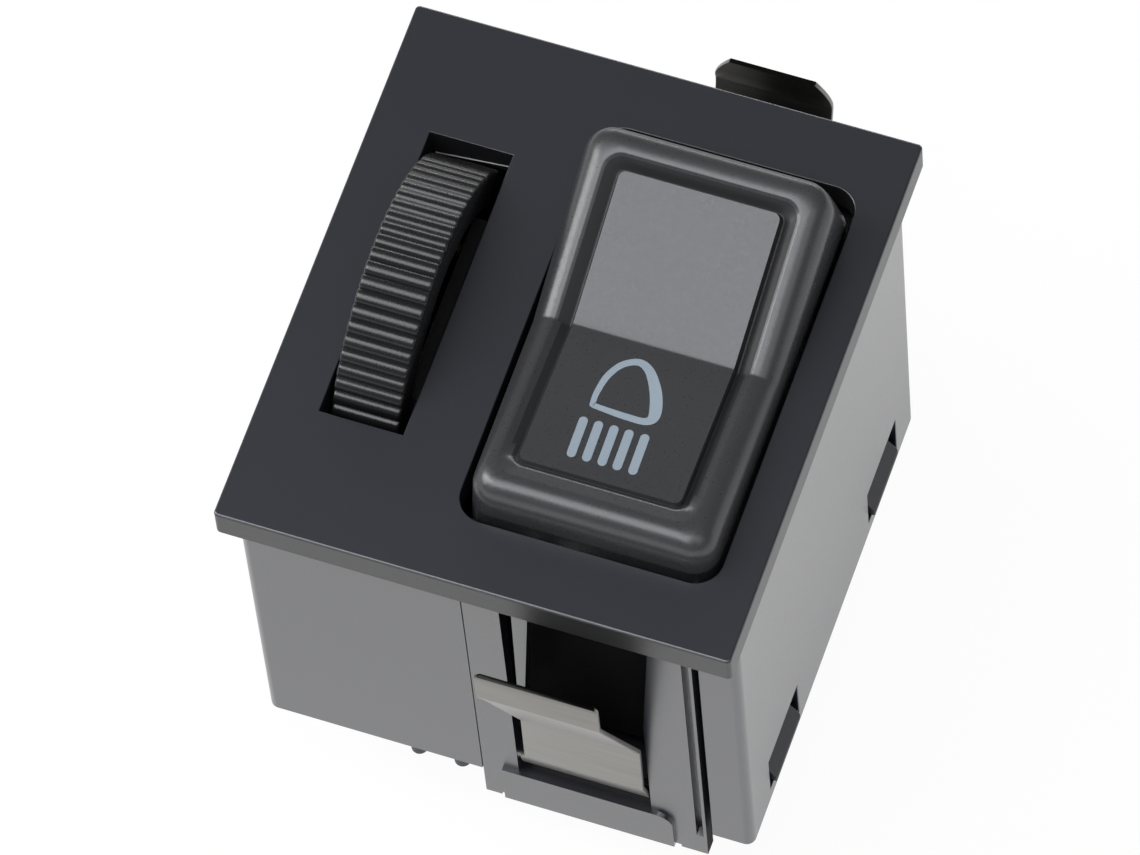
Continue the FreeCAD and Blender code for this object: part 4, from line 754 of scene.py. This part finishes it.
def rounded_block(low, high, edge):
    """A block between two corners with round edges all round: rings of a round-cornered rectangle, drawn in
    by e (1 - cos t) at the height e (1 - sin t) from each end."""
    low, high = np.asarray(low, float), np.asarray(high, float)
    middle, half = (low + high) / 2, (high - low) / 2
    steps = np.linspace(-1, 1, 3)
    rings = []
    for end, turns in ((-1, (90, 60, 30, 0)), (1, (0, 30, 60, 90))):
        for turn in np.radians(turns):
            inset = edge * (1 - math.cos(turn))
            flat = rounded_rectangle(half[0] - inset, half[1] - inset, edge * 1.05, steps, steps)
            level = end * (half[2] - edge * (1 - math.sin(turn)))
            rings.append(np.column_stack([flat + middle[:2], np.full(len(flat), level + middle[2])]))
    return loft(np.array(rings), close_start=True, close_end=True)


def bead(start, end, radius, steps=16):
    """A straight round bead with half-round ends: rings of radius r cos t at r sin t past each end."""
    start, end = np.asarray(start, float), np.asarray(end, float)
    along = (end - start) / np.linalg.norm(end - start)
    side = np.cross(along, (0.0, 1.0, 0.0))
    side /= np.linalg.norm(side)
    upright = np.cross(side, along)
    angle = np.linspace(0, 2 * math.pi, steps + 1)[:-1]
    circle = np.outer(np.cos(angle), side) + np.outer(np.sin(angle), upright)
    rings = []
    for place, turns in ((start, (-80, -55, -30, 0)), (end, (0, 30, 55, 80))):
        for turn in np.radians(turns):
            rings.append(place + along * radius * math.sin(turn) + circle * radius * math.cos(turn))
    return loft(np.array(rings), close_start=True, close_end=True)


# Zones by two corners: the face plate's rim, the walls of its two openings, and the frame's inside.
PLATE_RIM = ((-40.0, -40.0, 58.3), (40.0, 40.0, 61.9))
PLATE_OPENINGS = ((-22.0, -25.0, 58.3), (24.0, 25.0, 61.9))
FRAME_INSIDE = ((-30.0, -25.08, 0.0), (30.0, 25.08, 70.0))
# The walls that close the slit between the frame's rim and the plate; the ledge in the wheel's slot, pale as a
# painted highlight.
END_WALL_X, END_WALL_Y, END_WALL_Z, END_WALL_ROUND = (-2.8, 21.3), (25.15, 26.65), (54.2, 58.3), 0.2
LEDGE_START, LEDGE_END, LEDGE_RADIUS = (-20.4, 17.45, 58.0), (-12.5, 17.45, 59.3), 0.08


class SWITCH_OT_housing(bpy.types.Operator):
    """Housing, rocker frame, rear base and carrier, with small round edges"""
    bl_idname = "switch.housing"
    bl_label = "Housing"

    def execute(self, context):
        shell = plastic("housing_plastic", look().face_colour, 0.34, grain=look().grain, depth=0.006,
                        mottle=0.05, gloss=0.75, coat=0.8)
        inner = plastic("frame_plastic", look().face_colour, 0.32, grain=0.18, depth=0.006, mottle=0.05,
                        gloss=0.75, coat=0.8)
        base = plastic("base_plastic", look().face_colour, 0.45, grain=0.18, depth=0.01, mottle=0.08)
        matt = plastic("lining_plastic", (0.008, 0.008, 0.009), 0.75, grain=0.2, depth=0.01, mottle=0.1,
                       gloss=0.15)
        # Painted light: the plate's rim, one moulding with the face, takes a lighter copy of the charcoal, so
        # its side faces read brighter.
        rim = plastic("rim_plastic_painted_light", (0.021, 0.021, 0.0215), 0.36, grain=look().grain, depth=0.006,
                      mottle=0.05, gloss=0.45, coat=0.05)
        refined_copy("front_housing", "housing_shell", shell, bevel=0.15,
                     zones=((rim, *PLATE_RIM), (matt, *PLATE_OPENINGS)))
        refined_copy("rocker_frame", "frame_shell", inner, bevel=0.12,
                     zones=((matt, *FRAME_INSIDE),))
        refined_copy("rear_base", "base_shell", base, bevel=0.12)
        dress("dimmer_carrier", base)
        (left, right), (near, far), (foot, top) = END_WALL_X, END_WALL_Y, END_WALL_Z
        points, faces = join([rounded_block((left, low, foot), (right, high, top), END_WALL_ROUND)
                              for low, high in ((near, far), (-far, -near))])
        put_mesh("frame_end_walls", points, faces, "housing", inner, crease=50)
        # Painted highlight: a pale bead stands in for the light line along the wheel's slot.
        painted_highlight = plastic("bead_painted_highlight", (0.2, 0.2, 0.2), 0.4, grain=0.2, depth=0.004, mottle=0.1)
        points, faces = bead(LEDGE_START, LEDGE_END, LEDGE_RADIUS)
        put_mesh("slot_bead", points, faces, "housing", painted_highlight, crease=50)
        return {"FINISHED"}


class SWITCH_OT_works(bpy.types.Operator):
    """Finishes of the contacts, pins, spring and rheostat"""
    bl_idname = "switch.works"
    bl_label = "Contacts and pins"

    def execute(self, context):
        brass = metal("contact_brass", (0.62, 0.47, 0.22), 0.3)
        steel = metal("pin_steel", (0.55, 0.55, 0.54), 0.28)
        dark = metal("washer_steel", (0.2, 0.2, 0.19), 0.4)
        # Painted shade: the dimmer terminals and the wiper take a dark, rougher brass in place of the shade
        # inside the housing.
        dull_painted_shade = metal("dull_brass_painted_shade", (0.11, 0.09, 0.06), 0.55)
        wire = metal("winding_wire", (0.42, 0.36, 0.28), 0.4, streak=(2500.0, 300.0, 300.0), depth=0.05)
        acetal = plastic("plunger_acetal", (0.7, 0.69, 0.64), 0.4, grain=0.3, depth=0.004, mottle=0.03)
        ceramic = plastic("disc_ceramic", (0.012, 0.0115, 0.011), 0.8, grain=0.2, depth=0.03, mottle=0.1,
                          gloss=0.2)
        finishes = {
            "contact_bar": brass, "centre_terminal": brass, "front_terminal": brass, "rear_terminal": brass,
            "dimmer_terminal_lower": dull_painted_shade, "dimmer_terminal_upper": dull_painted_shade, "wiper": dull_painted_shade,
            "pivot_pin_left": steel, "pivot_pin_right": steel, "wheel_axle": steel, "plunger_spring": steel,
            "friction_washer": dark, "resistance_winding": wire, "detent_plunger": acetal,
            "rheostat_disc": ceramic,
        }
        for node, material in finishes.items():
            dress(node, material)
        return {"FINISHED"}


# Floor: its half side and its height in metres, the share of its glow, and where across X its glow for mirror
# rays starts to fall and has recovered, a painted shadow. Sky: from which Z of a ray's direction to which it
# falls.
FLOOR_REACH, FLOOR_HEIGHT, GLOW_SHARE, GLOW_PAINTED_SHADOW, SKY_FALL = 3, -0.05 * MM, 0.95, (0.02, 0.045), (0.04, 0.24)
# Camera: degrees round from the front, up from the floor and of roll; its place in metres, its lens in
# millimetres.
VIEW_ROUND, VIEW_UP, VIEW_ROLL = 24.7755, 62.7452, -6.3786
VIEW_PLACE, VIEW_LENS = (0.199234, -0.433717, 0.968302), 325.14


class SWITCH_OT_stage(bpy.types.Operator):
    """Pale floor, white surround, soft lamps and the camera"""
    bl_idname = "switch.stage"
    bl_label = "Stage"

    def execute(self, context):
        scene = context.scene
        scene.view_settings.view_transform = "Standard"
        floor_mesh = bpy.data.meshes.new("floor")
        corners = [(x * FLOOR_REACH, y * FLOOR_REACH, FLOOR_HEIGHT)
                   for x, y in ((-1, -1), (1, -1), (1, 1), (-1, 1))]
        floor_mesh.from_pydata(corners, [], [(0, 1, 2, 3)])
        floor = bpy.data.objects.new("floor", floor_mesh)
        scene.collection.objects.link(floor)
        floor_mesh.materials.append(self.floor_material())
        self.surround(scene)
        self.lamp("overhead_box", (-0.17, -0.26, 0.78), (-0.17, -0.26, 0.0), (0.85, 0.5),
                  5.6).data.color = (0.94, 0.955, 1.0)
        self.lamp("left_box", (-0.72, -0.12, 0.62), (0.0, 0.0, 0.06), (0.4, 0.5), 4.5)
        self.lamp("right_box", (0.5, -0.14, 0.74), (0.0, 0.0, 0.06), (0.24, 0.4), 0.5)
        self.lamp("front_box", (0.3, -0.85, 0.1), (0.0, 0.0, 0.03), (0.8, 0.16), 3.5).visible_glossy = False
        self.lamp("back_box", (-0.15, 0.8, 0.34), (0.0, 0.0, 0.06), (0.9, 0.12), 2.2)
        self.camera(scene)
        return {"FINISHED"}

    def floor_material(self):
        """Pale paper that glows for camera and mirror rays, so that it stays white in the render and in the
        walls; for mirror rays the glow is weaker beyond the part's right side, most of all close to it: a
        painted shadow that the walls reflect."""
        material = bpy.data.materials.new("floor_paper")
        material.use_nodes = True
        tree = material.node_tree
        shader = tree.nodes["Principled BSDF"]
        shader.inputs["Base Color"].default_value = (0.9, 0.9, 0.9, 1)
        shader.inputs["Roughness"].default_value = 0.9
        shader.inputs["Specular IOR Level"].default_value = 0.1
        glow = node_of(tree, "ShaderNodeEmission", (0, -200), Color=(1, 1, 1, 1), Strength=1.0)
        rays = tree.nodes.new("ShaderNodeLightPath")
        share = tree.nodes.new("ShaderNodeMath")
        share.operation = "MULTIPLY"
        share.inputs[1].default_value = GLOW_SHARE
        mix = tree.nodes.new("ShaderNodeMixShader")
        seen = tree.nodes.new("ShaderNodeMath")
        seen.operation = "MAXIMUM"
        tree.links.new(rays.outputs["Is Camera Ray"], seen.inputs[0])
        place = tree.nodes.new("ShaderNodeTexCoord")
        split = tree.nodes.new("ShaderNodeSeparateXYZ")
        # Painted shadow: the glow for mirror rays dims across X beyond the part's right side.
        across = node_of(tree, "ShaderNodeMapRange", (-900, -400))
        across.inputs["From Min"].default_value, across.inputs["From Max"].default_value = GLOW_PAINTED_SHADOW
        fall = tree.nodes.new("ShaderNodeValToRGB")
        fall.color_ramp.elements[0].color = (1, 1, 1, 1)
        fall.color_ramp.elements[1].color = (0.8, 0.8, 0.8, 1)
        fall.color_ramp.elements.new(0.25).color = (0.45, 0.45, 0.45, 1)
        mirror_glow_painted_shadow = tree.nodes.new("ShaderNodeMath")
        mirror_glow_painted_shadow.operation = "MULTIPLY"
        tree.links.new(place.outputs["Object"], split.inputs[0])
        tree.links.new(split.outputs["X"], across.inputs["Value"])
        tree.links.new(across.outputs["Result"], fall.inputs["Fac"])
        tree.links.new(rays.outputs["Is Glossy Ray"], mirror_glow_painted_shadow.inputs[0])
        tree.links.new(fall.outputs["Color"], mirror_glow_painted_shadow.inputs[1])
        tree.links.new(mirror_glow_painted_shadow.outputs[0], seen.inputs[1])
        tree.links.new(seen.outputs[0], share.inputs[0])
        tree.links.new(share.outputs[0], mix.inputs["Fac"])
        tree.links.new(shader.outputs["BSDF"], mix.inputs[1])
        tree.links.new(glow.outputs["Emission"], mix.inputs[2])
        tree.links.new(mix.outputs["Shader"], tree.nodes["Material Output"].inputs["Surface"])
        return material

    def surround(self, scene):
        """White for camera rays; for the rest a sky that is white near the floor and dim high above it."""
        world = bpy.data.worlds.new("surround")
        scene.world = world
        world.use_nodes = True
        tree = world.node_tree
        plain = tree.nodes["Background"]
        plain.inputs["Color"].default_value = (0.98, 0.99, 1.0, 1)
        white = node_of(tree, "ShaderNodeBackground", (0, -200), Color=(1, 1, 1, 1), Strength=1.0)
        rays = tree.nodes.new("ShaderNodeLightPath")
        mix = tree.nodes.new("ShaderNodeMixShader")
        tree.links.new(rays.outputs["Is Camera Ray"], mix.inputs["Fac"])
        tree.links.new(plain.outputs["Background"], mix.inputs[1])
        ray = tree.nodes.new("ShaderNodeTexCoord")
        split = tree.nodes.new("ShaderNodeSeparateXYZ")
        fall = node_of(tree, "ShaderNodeMapRange", (-400, 0))
        fall.interpolation_type = "SMOOTHSTEP"
        fall.inputs["From Min"].default_value, fall.inputs["From Max"].default_value = SKY_FALL
        fall.inputs["To Min"].default_value = 1.0
        fall.inputs["To Max"].default_value = look().ambient
        tree.links.new(ray.outputs["Object"], split.inputs[0])
        tree.links.new(split.outputs["Z"], fall.inputs["Value"])
        tree.links.new(fall.outputs["Result"], plain.inputs["Strength"])
        tree.links.new(white.outputs["Background"], mix.inputs[2])
        tree.links.new(mix.outputs["Shader"], tree.nodes["World Output"].inputs["Surface"])

    def lamp(self, name, place, target, size, power):
        """A rectangular lamp aimed at a target; metres and watts."""
        light = bpy.data.lights.new(name, "AREA")
        light.shape = "RECTANGLE"
        light.size, light.size_y = size
        light.energy = power
        item = bpy.data.objects.new(name, light)
        bpy.context.scene.collection.objects.link(item)
        item.location = place
        direction = Vector(target) - Vector(place)
        item.rotation_mode = "QUATERNION"
        item.rotation_quaternion = direction.to_track_quat("-Z", "Y")
        return item

    def camera(self, scene):
        """The camera fitted to the photograph: it looks down, is rolled, tipped up from the vertical by what
        its elevation lacks of 90 degrees, and turned about Z."""
        data = bpy.data.cameras.new("camera")
        data.sensor_width = 36.0
        data.lens = VIEW_LENS
        data.clip_start, data.clip_end = 0.05, 20.0
        camera = bpy.data.objects.new("camera", data)
        scene.collection.objects.link(camera)
        placed = Matrix.Translation(VIEW_PLACE)
        for degrees, axis in ((VIEW_ROUND, "Z"), (90 - VIEW_UP, "X"), (VIEW_ROLL, "Z")):
            placed = placed @ Matrix.Rotation(math.radians(degrees), 4, axis)
        camera.matrix_world = placed
        scene.camera = camera


class SWITCH_PT_panel(bpy.types.Panel):
    bl_idname = "SWITCH_PT_panel"
    bl_label = "Headlight switch"
    bl_space_type = "VIEW_3D"
    bl_region_type = "UI"
    bl_category = "Switch"

    def draw(self, context):
        for name in SwitchLook.__annotations__:
            self.layout.prop(context.scene.switch_look, name)
        for operator in OPERATORS:
            self.layout.operator(operator.bl_idname)


OPERATORS = (SWITCH_OT_rocker, SWITCH_OT_sign, SWITCH_OT_thumbwheel, SWITCH_OT_clips, SWITCH_OT_housing,
             SWITCH_OT_works, SWITCH_OT_stage)
CLASSES = (SwitchLook, *OPERATORS, SWITCH_PT_panel)


def register():
    for item in CLASSES:
        bpy.utils.register_class(item)
    bpy.types.Scene.switch_look = bpy.props.PointerProperty(type=SwitchLook)


def unregister():
    del bpy.types.Scene.switch_look
    for item in reversed(CLASSES):
        bpy.utils.unregister_class(item)


def main():
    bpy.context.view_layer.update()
    register()
    bpy.ops.switch.rocker()
    bpy.ops.switch.sign()
    bpy.ops.switch.thumbwheel()
    bpy.ops.switch.clips()
    bpy.ops.switch.housing()
    bpy.ops.switch.works()
    bpy.ops.switch.stage()


if __name__ == "__main__":
    main()
